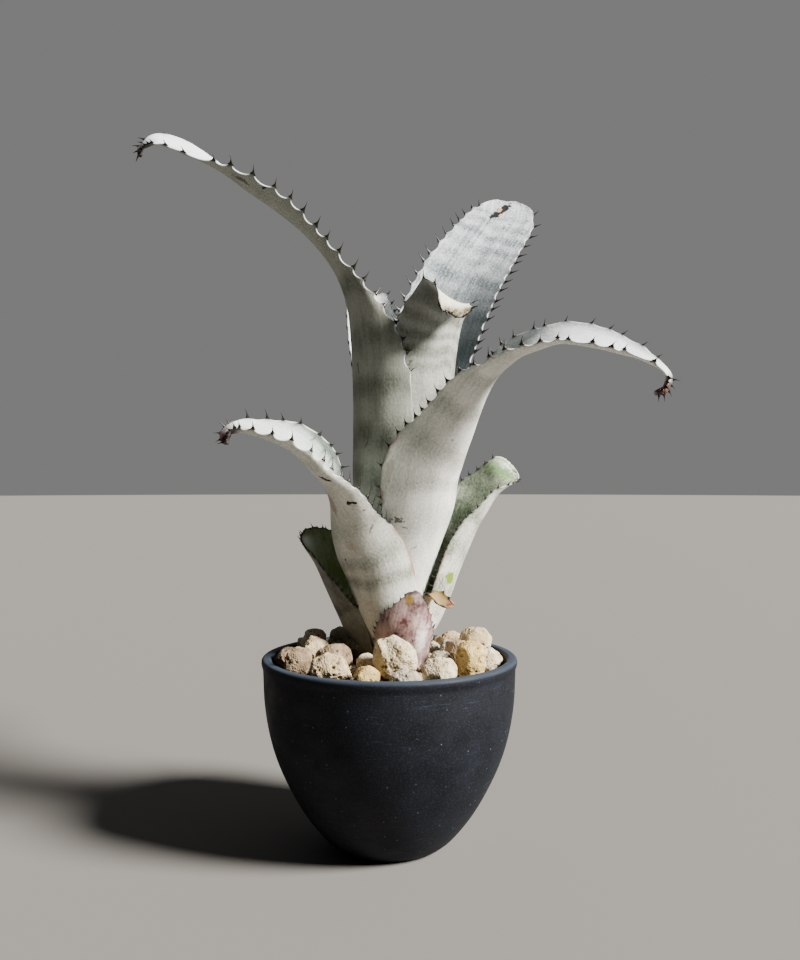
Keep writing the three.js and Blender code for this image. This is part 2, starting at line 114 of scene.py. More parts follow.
def new_material(name: str, constants: dict[str, object]) -> tuple[Material, Tree]:
    """Starts a node material.

    Args:
        name: what the real one is.
        constants: the shader's fixed values, by socket.

    Returns:
        The material and its node tree.
    """
    material = bpy.data.materials.new(name)
    material.use_nodes = True
    shader = material.node_tree.nodes["Principled BSDF"]
    for socket, value in constants.items():
        shader.inputs[socket].default_value = value
    return material, material.node_tree


def feed_shader(tree: Tree, sources: dict[str, Socket]) -> None:
    """Links each source to the shader's socket of that name."""
    shader = tree.nodes["Principled BSDF"]
    for socket, source in sources.items():
        tree.links.new(source, shader.inputs[socket])


def overlay(tree: Tree, base: Socket | str, layers: list[tuple[Socket, Socket | str]]) -> Socket:
    """Lays colours over a base in order, each as far as its mask lets it.

    Args:
        tree: the material's node tree.
        base: the colour underneath, as a socket or an sRGB hex colour.
        layers: each layer's mask and colour.

    Returns:
        The finished colour.
    """
    colour = linear(base) if isinstance(base, str) else base
    for mask, over in layers:
        upper = linear(over) if isinstance(over, str) else over
        colour = add_node(tree, "ShaderNodeMix", {0: mask, 6: colour, 7: upper}, data_type="RGBA").outputs[2]
    return colour


def smoothstep(value: Array | float, low: float, high: float) -> Array:
    """Rises smoothly from 0 at low to 1 at high, as 3x^2 - 2x^3 of the clipped share x.

    Args:
        value: where it is taken.
        low: where the rise starts.
        high: where it ends.

    Returns:
        The share, with value's shape.
    """
    share = np.clip((np.asarray(value, float) - low) / (high - low), 0, 1)
    return share * share * (3 - 2 * share)


def unit(vectors: Array) -> Array:
    """Scales each vector to length 1.

    Args:
        vectors: any array whose last axis is x, y, z.

    Returns:
        The unit vectors.
    """
    return vectors / np.maximum(np.linalg.norm(vectors, axis=-1, keepdims=True), 1e-12)


def lattice(cells: Array, seed: int) -> Array:
    """Gives each whole-number cell its own repeatable number from 0 to 1, by stirring its bits.

    Args:
        cells: whole numbers with x, y, z on the last axis.
        seed: picks another set of numbers.

    Returns:
        One number a cell.
    """
    mixed = (cells.astype(np.int64) * np.array(CELL_FACTORS[:3])).sum(axis=-1) + seed * CELL_FACTORS[3]
    mixed = mixed & WORD
    for shift, factor in STIRRING:
        mixed = ((mixed ^ (mixed >> shift)) * factor) & WORD
    return (mixed ^ (mixed >> LAST_SHIFT)) / (WORD + 1.0)


def soft_noise(points: Array, seed: int, octaves: int) -> Array:
    """Value noise: the cell corners' numbers blended by smoothstep, halved in size and height each octave.

    Args:
        points: x, y, z on the last axis, in cells of the first octave.
        seed: picks another pattern.
        octaves: how many sizes are added.

    Returns:
        Noise from about -1 to 1.
    """
    total = np.zeros(points.shape[:-1])
    reach = 0.0
    for octave in range(octaves):
        scaled = points * 2 ** octave + OCTAVE_SHIFT * octave
        cell = np.floor(scaled)
        part = scaled - cell
        part = part * part * (3 - 2 * part)
        value = np.zeros(points.shape[:-1])
        for corner in range(8):
            bits = np.array([corner & 1, corner >> 1 & 1, corner >> 2 & 1])
            weight = np.prod(np.where(bits == 1, part, 1 - part), axis=-1)
            value += weight * lattice(cell + bits, seed + octave)
        total += (2 * value - 1) * 0.5 ** octave
        reach += 0.5 ** octave
    return total / reach


def cell_distance(points: Array, seed: int) -> Array:
    """Distance to the nearest of one scattered point in each cell, over the 27 cells around.

    Args:
        points: x, y, z on the last axis, in cells.
        seed: picks another scatter.

    Returns:
        The distance in cells.
    """
    home = np.floor(points)
    nearest = np.full(points.shape[:-1], np.inf)
    for step in range(27):
        cell = home + np.array([step % 3 - 1, step // 3 % 3 - 1, step // 9 - 1])
        spot = cell + np.stack([lattice(cell, seed + axis) for axis in range(3)], -1)
        nearest = np.minimum(nearest, np.linalg.norm(points - spot, axis=-1))
    return nearest


@dataclass
class Sheets:
    """Vertices, faces and values that are gathered into one mesh."""

    places: list[Array] = field(default_factory=list)
    quads: list[Array] = field(default_factory=list)
    triangles: list[Array] = field(default_factory=list)
    values: dict[str, list[Array]] = field(default_factory=dict)
    count: int = 0

    def add(self, places: Array, quads: Array, triangles: Array | None = None, **values: Array) -> None:
        """Adds one closed form.

        Args:
            places: its vertices in millimetres.
            quads: four-sided faces by vertex number.
            triangles: three-sided faces by vertex number.
            values: a number for each vertex, by attribute name.
        """
        self.quads.append(quads.reshape(-1, 4) + self.count)
        if triangles is not None:
            self.triangles.append(triangles.reshape(-1, 3) + self.count)
        flat = places.reshape(-1, 3)
        self.places.append(flat)
        for name, value in values.items():
            self.values.setdefault(name, []).append(np.broadcast_to(value, places.shape[:-1]).reshape(-1))
        self.count += len(flat)

    def build(self, name: str, sharp_degrees: float = 180.0) -> bpy.types.Object:
        """Makes the mesh object in metres, smooth shaded.

        Args:
            name: the object's name.
            sharp_degrees: edges that bend more than this stay sharp.

        Returns:
            The linked object, at the origin.
        """
        mesh = bpy.data.meshes.new(name)
        groups = self.quads + self.triangles
        corner = np.concatenate([faces.reshape(-1) for faces in groups]).astype(np.int32)
        size = np.concatenate([np.full(len(faces), faces.shape[1]) for faces in groups]).astype(np.int32)
        mesh.vertices.add(self.count)
        mesh.vertices.foreach_set("co", (np.concatenate(self.places) * MM).astype(np.float32).reshape(-1))
        mesh.loops.add(len(corner))
        mesh.loops.foreach_set("vertex_index", corner)
        mesh.polygons.add(len(size))
        mesh.polygons.foreach_set("loop_start", np.concatenate([[0], np.cumsum(size)[:-1]]).astype(np.int32))
        for key, parts in self.values.items():
            attribute = mesh.attributes.new(key, "FLOAT", "POINT")
            attribute.data.foreach_set("value", np.concatenate(parts).astype(np.float32))
        mesh.update(calc_edges=True)
        mesh.validate()
        mesh.shade_smooth()
        if sharp_degrees < 180:
            mesh.set_sharp_from_angle(angle=math.radians(sharp_degrees))
        piece = bpy.data.objects.new(name, mesh)
        bpy.context.scene.collection.objects.link(piece)
        return piece


def tube_quads(rows: int, ring: int) -> Array:
    """Faces of a grid of rings, closed round each ring and open at both ends.

    Args:
        rows: number of rings.
        ring: vertices in a ring.

    Returns:
        Vertex numbers, four a face.
    """
    row, column = np.meshgrid(np.arange(rows - 1), np.arange(ring), indexing="ij")
    low, high = row * ring, (row + 1) * ring
    after = (column + 1) % ring
    return np.stack([low + column, low + after, high + after, high + column], -1)


def settle(piece: bpy.types.Object, slot: str, *nodes: str) -> None:
    """Lets a finished piece ride on the pot's body and stand for its solids.

    Args:
        piece: the finished object.
        slot: the record's material slot; not used.
        nodes: the solids that it stands for.
    """
    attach(piece, "root")
    if nodes:
        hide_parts(*nodes)
    LOG.info("%s: %d vertices, %d faces", piece.name, len(piece.data.vertices), len(piece.data.polygons))


def dress(piece: bpy.types.Object, material: Material) -> None:
    """Gives a piece its one material."""
    piece.data.materials.clear()
    piece.data.materials.append(material)


class Rail:
    """A curve through stations, in cubic pieces.

    Each station is left along half the step between its neighbours.
    """

    def __init__(self, stations: Array) -> None:
        """Keeps the stations, with one more at each end on the same line.

        Args:
            stations: one row a station, with any number of values.
        """
        ends = 2 * stations[[0, -1]] - stations[[1, -2]]
        self.knots = np.vstack([ends[:1], stations, ends[1:]])
        self.pieces = len(stations) - 1

    def at(self, share: Array) -> Array:
        """Works out the curve.

        Args:
            share: from 0 at the first station to 1 at the last, equal steps between stations.

        Returns:
            One row of values for each share.
        """
        place = np.clip(share, 0, 1) * self.pieces
        index = np.minimum(place.astype(int), self.pieces - 1)
        part = (place - index)[..., None]
        before, start, end, after = (self.knots[index + i] for i in range(4))
        leave, arrive = (end - before) / 2, (after - start) / 2
        square = 3 * (end - start) - 2 * leave - arrive
        cube = 2 * (start - end) + leave + arrive
        return start + leave * part + square * part ** 2 + cube * part ** 3


@dataclass(frozen=True)
class Funnel:
    """The nested leaf bases: round an axis that leans to +X, each layer a little further out."""

    crown: float = 70.0
    axis_at_crown: float = 3.1
    axis_lean: float = 0.043
    core_radius: float = 4.2
    flare: float = 14.8
    flare_from: float = 88.0
    flare_to: float = 158.0
    layer_pitch: float = 1.4
    heights: tuple[float, ...] = (70, 76, 83, 91, 100, 111, 124, 138, 150)

    def radius(self, height: Array, layer: float) -> Array:
        """Core, plus a smooth flare with height, plus the layer's share."""
        flared = self.flare * smoothstep(height, self.flare_from, self.flare_to)
        return self.core_radius + flared + layer * self.layer_pitch

    def axis_x(self, height: Array) -> Array:
        """The axis's x, which grows evenly with height."""
        return self.axis_at_crown + self.axis_lean * (height - self.crown)


class Margin(Enum):
    """The two edges of a leaf, by the sign of the distance from its midrib."""

    LEFT = -1
    RIGHT = 1


@dataclass(frozen=True)
class Band:
    """One blurred cross-band: where its middle is along the leaf, its half width, and how dark it is."""

    middle: float
    half_width: float
    depth: float = 1.0


@dataclass(frozen=True)
class Mark:
    """A scratch, scar, stain or painted sheen: its place along and across the leaf, its half sizes and
    colour.
    """

    along: float
    arc: float
    half_length: float
    half_width: float
    colour: str
    turn: float = 0.0
    ragged: float = 0.9
    strength: float = 1.0
    soft: float = 0.25


@dataclass(frozen=True)
class Patch:
    """A soft patch of the finish's tint on one face: its place, its half sizes and its strength. On the front
    left and right leaves it is the leaf's own green, and pale bloom on the left leaf; on the heart and the
    back leaf it is painted shade.
    """

    along: float
    arc: float
    half_length: float
    half_width: float
    strength: float
    on_inner: bool = True


@dataclass(frozen=True)
class ScurfyLeaf:
    """Bromeliad leaf tissue under a bloom of dry white scales, which water and age rub into blurred bands.

    It looks like suede: pale, dull and faintly streaked along the leaf, darker where the scales are thin.
    """

    name: str
    tissue: str = "#666d60"
    scurf: str = "#cfd0c6"
    inner_tissue: str = "#7b888b"
    inner_scurf: str = "#dde3e6"
    # The tint patches' colour: a green here; on the heart and the back leaf it is the colour of painted shade
    tint: str = "#5f7d4a"
    blush: str = "#8d5646"
    horn: str = "#140e0c"
    dried: str = "#3b2a22"
    dried_dark: str = "#150f0d"
    cover: float = 0.72
    inner_cover: float = 0.76
    band_depth: float = 0.42
    blotch: float = 0.24
    streak: float = 0.13
    weft: float = 0.06
    grain: float = 0.3
    roughness: float = 0.62
    horn_roughness: float = 0.38
    relief: float = 0.11

    # Patterns on the leaf's surface: name, cell along and across the leaf in millimetres, detail
    PATTERNS = (("streak", 30.0, 1.1, 3.0), ("weft", 1.6, 9.0, 2.0),
                ("blotch", 9.0, 6.0, 5.0), ("grain", 1.1, 0.9, 3.0))
    # The range of raw noise that is spread over 0 to 1
    SPREAD = {1: 0.33, 2: 0.67}
    # How many cells apart the upper and the lower face read a pattern
    FACE_STEP = 4.0
    # Freckles: cells a millimetre and from face to face, where a dot fades in, and which blotches bear them
    FRECKLE_CELLS = (0.42, 0.42, 5.0)
    FRECKLE = {1: 0.13, 2: 0.05, 3: 0.0, 4: 0.75}
    FRECKLED = {1: 0.55, 2: 0.85}
    # A mark's reach through the leaf in millimetres, and the rate of the noise that roughens its outline
    MARK_DEPTH = 2.5
    SHAKES_PER_M = 620.0
    ATTRIBUTES = ("along", "arc", "inner", "band", "dry", "stain", "tint", "blush", "rim")

    def mark_mask(self, tree: Tree, place: Socket, shake: Socket, mark: Mark, centre: Array,
                  axes: Array) -> Socket:
        """A ragged oval: where the distance from the mark's middle, in half sizes and shaken, is under 1.

        Args:
            tree: the material's node tree.
            place: Object coordinates.
            shake: colour noise that roughens the outline.
            mark: the mark.
            centre: its middle in millimetres.
            axes: unit rows along the leaf, across it and out of it.

        Returns:
            A mask from 0 to the mark's strength.
        """
        turn = math.radians(mark.turn)
        along = math.cos(turn) * axes[0] + math.sin(turn) * axes[1]
        across = math.cos(turn) * axes[1] - math.sin(turn) * axes[0]
        offset = add_node(tree, "ShaderNodeVectorMath", {0: place, 1: tuple(centre * MM)},
                          operation="SUBTRACT").outputs["Vector"]
        shares = []
        for axis, half in ((along, mark.half_length), (across, mark.half_width), (axes[2], self.MARK_DEPTH)):
            dot = add_node(tree, "ShaderNodeVectorMath", {0: offset, 1: tuple(axis / (half * MM))},
                           operation="DOT_PRODUCT")
            shares.append(dot.outputs["Value"])
        local = add_node(tree, "ShaderNodeCombineXYZ", dict(enumerate(shares))).outputs["Vector"]
        centred = add_node(tree, "ShaderNodeVectorMath", {0: shake, 1: (0.5, 0.5, 0.5)},
                           operation="SUBTRACT").outputs["Vector"]
        shaken = add_node(tree, "ShaderNodeVectorMath",
                          {0: centred, 1: (2 * mark.ragged,) * 3, 2: local},
                          operation="MULTIPLY_ADD")
        length = add_node(tree, "ShaderNodeVectorMath", {0: shaken.outputs["Vector"]}, operation="LENGTH")
        mask = add_node(tree, "ShaderNodeMapRange",
                        {0: length.outputs["Value"], 1: 1.0, 2: 1.0 - mark.soft, 3: 0.0, 4: mark.strength})
        return mask.outputs["Result"]

    def patterns(self, tree: Tree, surface: Socket) -> dict[str, Socket]:
        """Makes the noises that run with the leaf, each stretched to its own cell and spread over 0 to 1."""
        made = {}
        for name, along, across, detail in self.PATTERNS:
            cells = add_node(tree, "ShaderNodeVectorMath",
                             {0: surface, 1: (1 / along, 1 / across, self.FACE_STEP)}, operation="MULTIPLY")
            noise = add_node(tree, "ShaderNodeTexNoise",
                             {"Vector": cells.outputs["Vector"], "Scale": 1.0, "Detail": detail})
            spread = add_node(tree, "ShaderNodeMapRange", {0: noise.outputs["Fac"]} | self.SPREAD)
            made[name] = spread.outputs["Result"]
        return made

    def scurf_cover(self, tree: Tree, value: dict[str, Socket], pattern: dict[str, Socket]) -> Socket:
        """How much scurf lies on a place: its face's cover, less the band, give or take each pattern's half.

        Args:
            tree: the material's node tree.
            value: the mesh's attributes.
            pattern: the noises.

        Returns:
            The cover from 0 to 1.
        """
        cover = add_node(tree, "ShaderNodeMapRange",
                         {0: value["inner"], 3: self.cover, 4: self.inner_cover}).outputs[0]
        banded = add_node(tree, "ShaderNodeMath", {0: value["band"], 1: -self.band_depth, 2: cover},
                          operation="MULTIPLY_ADD")
        cover = banded.outputs[0]
        for name in ("blotch", "streak", "weft", "grain"):
            weight = getattr(self, name)
            part = add_node(tree, "ShaderNodeMath", {0: pattern[name], 1: weight, 2: -0.5 * weight},
                            operation="MULTIPLY_ADD")
            total = add_node(tree, "ShaderNodeMath", {0: cover, 1: part.outputs[0]}, operation="ADD")
            cover = total.outputs[0]
        return add_node(tree, "ShaderNodeMapRange", {0: cover}, clamp=True).outputs[0]

    def freckles(self, tree: Tree, surface: Socket, blotch: Socket) -> Socket:
        """Dark pin pricks where old scales have come off, one in about 2.4 mm and only in some blotches."""
        cells = add_node(tree, "ShaderNodeVectorMath", {0: surface, 1: self.FRECKLE_CELLS},
                         operation="MULTIPLY")
        prick = add_node(tree, "ShaderNodeTexVoronoi", {"Vector": cells.outputs["Vector"], "Scale": 1.0})
        dot = add_node(tree, "ShaderNodeMapRange", {0: prick.outputs["Distance"]} | self.FRECKLE)
        where = add_node(tree, "ShaderNodeMapRange", {0: blotch} | self.FRECKLED)
        return add_node(tree, "ShaderNodeMath", {0: dot.outputs[0], 1: where.outputs[0]},
                        operation="MULTIPLY").outputs[0]

    def build(self, marks: list[tuple[Mark, Array, Array]]) -> Material:
        """Makes the material: tissue, scurf, freckles, tints (painted shade on two leaves), marks (one a
        painted sheen), dried tip and horn, in that order.

        Args:
            marks: each mark with its middle and its axes.

        Returns:
            The node material.
        """
        material, tree = new_material(self.name, {"IOR": 1.42, "Specular IOR Level": 0.38})
        value = {name: add_node(tree, "ShaderNodeAttribute", attribute_name=name).outputs["Fac"]
                 for name in self.ATTRIBUTES}
        surface = add_node(tree, "ShaderNodeCombineXYZ",
                           {0: value["along"], 1: value["arc"], 2: value["inner"]}).outputs["Vector"]
        pattern = self.patterns(tree, surface)
        tissue = overlay(tree, self.tissue, [(value["inner"], self.inner_tissue)])
        scurf = overlay(tree, self.scurf, [(value["inner"], self.inner_scurf)])
        withered = overlay(tree, self.dried_dark, [(pattern["grain"], self.dried)])
        place = add_node(tree, "ShaderNodeTexCoord").outputs["Object"]
        shake = add_node(tree, "ShaderNodeTexNoise",
                         {"Vector": place, "Scale": self.SHAKES_PER_M, "Detail": 3.0}).outputs["Color"]
        colour = overlay(tree, tissue, [
            (self.scurf_cover(tree, value, pattern), scurf),
            (self.freckles(tree, surface, pattern["blotch"]), self.horn),
            # Tint patches: the leaf's own green on some leaves, and painted shade on the heart and the back
            # leaf
            (value["tint"], self.tint),
            (value["blush"], self.blush),
            *((self.mark_mask(tree, place, shake, mark, centre, axes), mark.colour)
              for mark, centre, axes in marks),
            (value["dry"], withered),
            # A hair of bare white cartilage runs along the margin, and turns to horn at each thorn
            (value["rim"], self.inner_scurf),
            (value["stain"], self.horn)])
        rough = add_node(tree, "ShaderNodeMapRange",
                         {0: value["stain"], 3: self.roughness, 4: self.horn_roughness}).outputs[0]
        # The scurf's relief: mostly grain, then streaks and a little weft
        relief = pattern["grain"]
        for name, weight in (("streak", 0.4), ("weft", 0.15)):
            relief = add_node(tree, "ShaderNodeMath", {0: pattern[name], 1: weight, 2: relief},
                              operation="MULTIPLY_ADD").outputs[0]
        bump = add_node(tree, "ShaderNodeBump",
                        {"Height": relief, "Strength": 0.3, "Distance": self.relief * MM})
        feed_shader(tree, {"Base Color": colour, "Roughness": rough, "Normal": bump.outputs["Normal"]})
        return material


@dataclass(frozen=True)
class Thorns:
    """Marginal thorns: hooked horn spines with a broad foot that runs out along the leaf's edge."""

    height: float = 4.6
    foot: float = 1.15
    thickness: float = 0.3
    sweep: float = 0.34
    lean: float = 0.15
    root: float = 0.35
    spine: float = 0.26
    point: float = 0.05
    sides: int = 6
    levels: tuple[float, ...] = (0.0, 0.1, 0.22, 0.37, 0.54, 0.72, 0.88)

    # Powers of the height share: how the centre line hooks over, and of the share left how each size falls
    HOOK = 1.6
    FOOT_FALL = 4.5
    SPINE_FALL = 0.7
    THICKNESS_FALL = 0.9

    def add_to(self, sheets: Sheets, feet: Array, outward: Array, tangent: Array, size: Array,
               **values: Array) -> None:
        """Adds a row of thorns to a leaf.

        A thorn's centre line leaves the margin along outward and bends towards the leaf's tip with a power
        of its height. Round it lie ovals that shrink steeply at the foot and then slowly to the point.

        Args:
            sheets: the leaf's mesh.
            feet: the middle of each foot, on the margin.
            outward: unit directions out of the margin.
            tangent: unit directions along the leaf.
            size: each thorn's share of the full height.
            values: the leaf's attributes at each foot.
        """
        across = unit(np.cross(tangent, outward))
        tangent = np.cross(outward, across)
        level = np.array(self.levels)[None, :, None, None]
        angle = np.linspace(0, 2 * math.pi, self.sides, endpoint=False)[None, None, :, None]
        tall = (self.height * size)[:, None, None, None]
        lead, out, beside = (rows[:, None, None, :] for rows in (tangent, outward, across))
        line = (feet[:, None, None, :] + out * (tall * level - self.root)
                + lead * self.sweep * tall * level ** self.HOOK)
        left = 1 - level
        along = self.foot * left ** self.FOOT_FALL + self.spine * left ** self.SPINE_FALL
        along = along * np.sqrt(tall / self.height)
        thick = self.thickness * left ** self.THICKNESS_FALL + self.point
        rings = line + lead * along * np.cos(angle) + beside * thick * np.sin(angle)
        reach, hooked = self.height * size - self.root, self.sweep * self.height * size
        tips = feet + outward * reach[:, None] + tangent * hooked[:, None]
        count, rows = len(feet), len(self.levels)
        body = np.concatenate([rings.reshape(count, -1, 3), tips[:, None, :]], axis=1)
        ring = np.arange(self.sides)
        after = (ring + 1) % self.sides
        top = (rows - 1) * self.sides
        side = tube_quads(rows, self.sides).reshape(-1, 4)[:, ::-1]
        point = np.stack([top + after, top + ring, np.full(self.sides, rows * self.sides)], -1)
        foot = np.stack([ring[1:-1], after[1:-1], np.zeros(self.sides - 2, int)], -1)
        start = (np.arange(count) * body.shape[1])[:, None, None]
        spread = {name: np.repeat(value[:, None], body.shape[1], axis=1) for name, value in values.items()}
        sheets.add(body, quads=side + start, triangles=np.concatenate([point, foot]) + start, **spread)


@dataclass
class Leaf:
    """One leaf: a rolled base in the funnel, a channelled blade, scalloped margins and their thorns.

    Each blade station is x, y, z, width along the arc, cup as the arc's half angle, and the azimuth and
    elevation that the upper face looks to, in millimetres and degrees.
    """

    name: str
    layer: float
    azimuth: float
    wrap: float
    sheath_top: float
    blade: tuple[tuple[float, ...], ...]
    first_thorn: float
    pitch: tuple[float, float]
    tip: float
    finish: ScurfyLeaf
    slot: str = "leaf"
    funnel: Funnel = Funnel()
    thorns: Thorns = Thorns()
    thorn_share: tuple[float, float] = (1.0, 1.0)
    bands: tuple[Band, ...] = ()
    marks: tuple[Mark, ...] = ()
    patches: tuple[Patch, ...] = ()
    blush: tuple[float, float] = (0.0, 0.0)
    blush_margin: Margin = Margin.RIGHT
    dried: float = 3.0
    tip_thorns: int = 0
    seed: int = 1
    row_step: float = 0.7
    middle_columns: int = 22
    middle_thickness: float = 1.1
    edge_thickness: float = 0.7
    edge_round: float = 0.35
    tip_width: float = 1.6
    scallop: tuple[float, float] = (0.15, 0.15)
    scallop_rise: float = 4.0
    lip: tuple[float, float] = (0.5, 0.5)
    lip_width: float = 4.0
    lip_from: float = 60.0
    wave: float = 0.35
    groove: float = 0.0
    crumple: float = 1.0
    # Columns near a margin, by their distance from it in millimetres
    edge_columns: tuple[float, ...] = (0.07, 0.2, 0.38, 0.75, 1.4, 2.3, 3.4)

    # The free margin before the first thorn, and how far chance moves one, as a share of the gap after it,
    # and changes its size
    THORN_CLEARANCE = 1.1
    THORN_SHIFT = 0.16
    THORN_SIZES = (0.85, 1.12)
    WITHERED_SIZES = (0.45, 0.7)
    # Where the withered tip's thorns start and end, as shares of its length back from the tip
    WITHERED_THORNS = (0.7, 0.1)
    # Noise cells in millimetres along and across the leaf, and of the crumpled tip
    WAVE_CELLS = (21, 13)
    BAND_CELLS = (26, 8)
    CRUMPLE_CELL = 2.2
    # Half sizes in millimetres: the midrib's groove, and the pale and the horn-coloured edge
    GROOVE_REACH = 1.6
    RIM_REACH = 0.3
    STAIN_REACH = 0.6
    # Over how many millimetres the lips and the pale rim come in
    FADE = 12.0
    # Distances from the base between which the free leaf starts to wave and to be grooved
    FREE_FROM = (25, 70)
    # The widest that a lip gets, as a share of the leaf's half width
    LIP_SHARE = 0.6
    # Powers that shape the hollow between two thorns, a cross-band and the horn beside a thorn's foot
    HOLLOW_POWER = 0.85
    BAND_POWER = 2.6
    STAIN_POWER = 1.6
    # How far soft noise moves a band and the border of the dried tip, in millimetres
    BAND_WANDER = 3.2
    DRY_WANDER = 1.5
    # How strong the pale rim is at the very edge, and the horn, which is cut off at full strength
    RIM_STRENGTH = 0.75
    STAIN_STRENGTH = 1.3
    # The blush: how far it reaches in from the margin at most, and over what length it comes in
    BLUSH_REACH = 1.6
    BLUSH_FADE = 4

    def __post_init__(self) -> None:
        """Lays the rails for place, upper face and section, and measures the midrib."""
        heights = np.array([height for height in self.funnel.heights if height <= self.sheath_top])
        radius = self.funnel.radius(heights, self.layer)
        turn, wrap = math.radians(self.azimuth), math.radians(self.wrap)
        zero = np.zeros_like(heights)
        axis = self.funnel.axis_x(heights)
        round_axis = np.stack([axis + radius * math.cos(turn), radius * math.sin(turn), heights], -1)
        inward = np.stack([zero - math.cos(turn), zero - math.sin(turn), zero], -1)
        rolled = np.stack([2 * radius * wrap, zero + wrap, zero], -1)
        free = np.array(self.blade, float)
        around, up = np.radians(free[:, 5]), np.radians(free[:, 6])
        facing = np.stack([np.cos(around) * np.cos(up), np.sin(around) * np.cos(up), np.sin(up)], -1)
        section = np.stack([free[:, 3], np.radians(free[:, 4]), np.ones(len(free))], -1)
        self.place = Rail(np.vstack([round_axis, free[:, :3]]))
        self.face = Rail(np.vstack([inward, facing]))
        self.form = Rail(np.vstack([rolled, section]))
        self.shares = np.linspace(0, 1, 241)
        steps = np.linalg.norm(np.diff(self.place.at(self.shares), axis=0), axis=1)
        self.lengths = np.concatenate([[0], np.cumsum(steps)])
        self.length = float(self.lengths[-1])
        self.thorn_rows = {margin: self.thorn_places(margin) for margin in Margin}

    def thorn_places(self, margin: Margin) -> tuple[Array, Array]:
        """Where the thorns of a margin stand: a pitch that changes evenly, each shifted a little by chance.

        Their size rises from three quarters to full and back, as a half sine over the root of the way along.

        Args:
            margin: which edge.

        Returns:
            The distances along the leaf, and each thorn's share of the full height.
        """
        last = self.length - 0.3 * self.tip - 2 * self.THORN_CLEARANCE
        first, (start, end) = self.first_thorn, self.pitch
        places = []
        along = first + self.THORN_CLEARANCE
        while along < last + self.THORN_CLEARANCE:
            places.append(along)
            along += start + (end - start) * (along - first) / (last - first)
        place = np.array(places)
        chance = np.random.default_rng(100 * self.seed + margin.value)
        share = (place - place[0]) / max(last - place[0], 1)
        size = 0.75 + 0.25 * np.sin(math.pi * np.sqrt(np.clip(share, 0, 1)))
        gap = np.diff(np.append(place, place[-1] + self.pitch[1]))
        place = place + chance.uniform(-self.THORN_SHIFT, self.THORN_SHIFT, len(place)) * gap
        size *= self.thorn_share[margin is Margin.RIGHT] * chance.uniform(*self.THORN_SIZES, len(place))
        withered = self.length - np.linspace(*self.WITHERED_THORNS, self.tip_thorns) * self.dried
        keep = place < self.length - 0.9 * self.dried if self.tip_thorns else place > 0
        place, size = place[keep], size[keep]
        small = chance.uniform(*self.WITHERED_SIZES, self.tip_thorns)
        return np.append(place, withered), np.append(size, small)

    def frame(self, along: Array) -> tuple[Array, ...]:
        """The leaf's own directions: guide runs up the axis in the base and along the midrib in the blade.

        The width shrinks over the tip as a quarter of an ellipse.

        Args:
            along: distances from the base.

        Returns:
            Midrib place, side and opening rows, the section's radius, and half its width.
        """
        share = np.interp(along, self.lengths, self.shares)
        tangent = unit(self.place.at(share + 1e-4) - self.place.at(share - 1e-4))
        face = unit(self.face.at(share))
        form = self.form.at(share)
        free = form[:, 2:]
        guide = unit((1 - free) * np.array([0, 0, 1.0]) + free * tangent)
        side = unit(np.cross(guide, face))
        opening = unit((1 - free) * face + free * np.cross(side, guide))
        into = np.clip((along - self.length + self.tip) / self.tip, 0, 1)
        half = np.maximum(form[:, 0] * np.sqrt(1 - into ** 2), self.tip_width) / 2
        return self.place.at(share), side, opening, half / form[:, 1], half

    def surface(self, along: Array, reach: Array) -> Array:
        """The middle surface: at each row, an arc that opens towards the upper face.

        Args:
            along: distance from the base for each row.
            reach: signed distances from the midrib, one row of them a row.

        Returns:
            Points by row and column.
        """
        place, side, opening, radius, _ = self.frame(along)
        turn = reach / radius[:, None]
        across = side[:, None, :] * (radius[:, None] * np.sin(turn))[..., None]
        rise = opening[:, None, :] * (radius[:, None] * (1 - np.cos(turn)))[..., None]
        return place[:, None, :] + across + rise

    def margin_offset(self, along: Array, margin: Margin) -> Array:
        """How far an edge stands out: it rises to each thorn and hangs between two in a flattened parabola.

        Args:
            along: distances from the base.
            margin: which edge.

        Returns:
            The offset for each row.
        """
        place, _ = self.thorn_rows[margin]
        index = np.clip(np.searchsorted(place, along) - 1, 0, len(place) - 2)
        gap = place[index + 1] - place[index]
        share = np.clip((along - place[index]) / gap, 0, 1)
        hollow = (4 * share * (1 - share)) ** self.HOLLOW_POWER
        toothed = smoothstep(along, place[0] - 4, place[0])
        depth = self.scallop[margin is Margin.RIGHT]
        return toothed * depth * (self.scallop_rise - (self.scallop_rise + gap) * hollow)

    def columns(self, left: Array, right: Array) -> Array:
        """Spreads the columns over each row: close steps near both margins and even ones between.

        Args:
            left: the left margin's distance from the midrib, for each row.
            right: the right margin's.

        Returns:
            Signed distances from the midrib by row and column.
        """
        near = np.array((0.0,) + self.edge_columns) * self.squeeze(left, right)
        low, high = near - left[:, None], right[:, None] - near[:, ::-1]
        middle = np.linspace(0, 1, self.middle_columns + 1)[None, 1:-1]
        return np.concatenate([low, low[:, -1:] + (high[:, :1] - low[:, -1:]) * middle, high], axis=1)

    def squeeze(self, left: Array, right: Array) -> Array:
        """How far the close columns and the rounding shrink where the leaf is narrow, for each row."""
        return np.minimum(1, np.minimum(left, right) / (1.25 * self.edge_columns[-1]))[:, None]

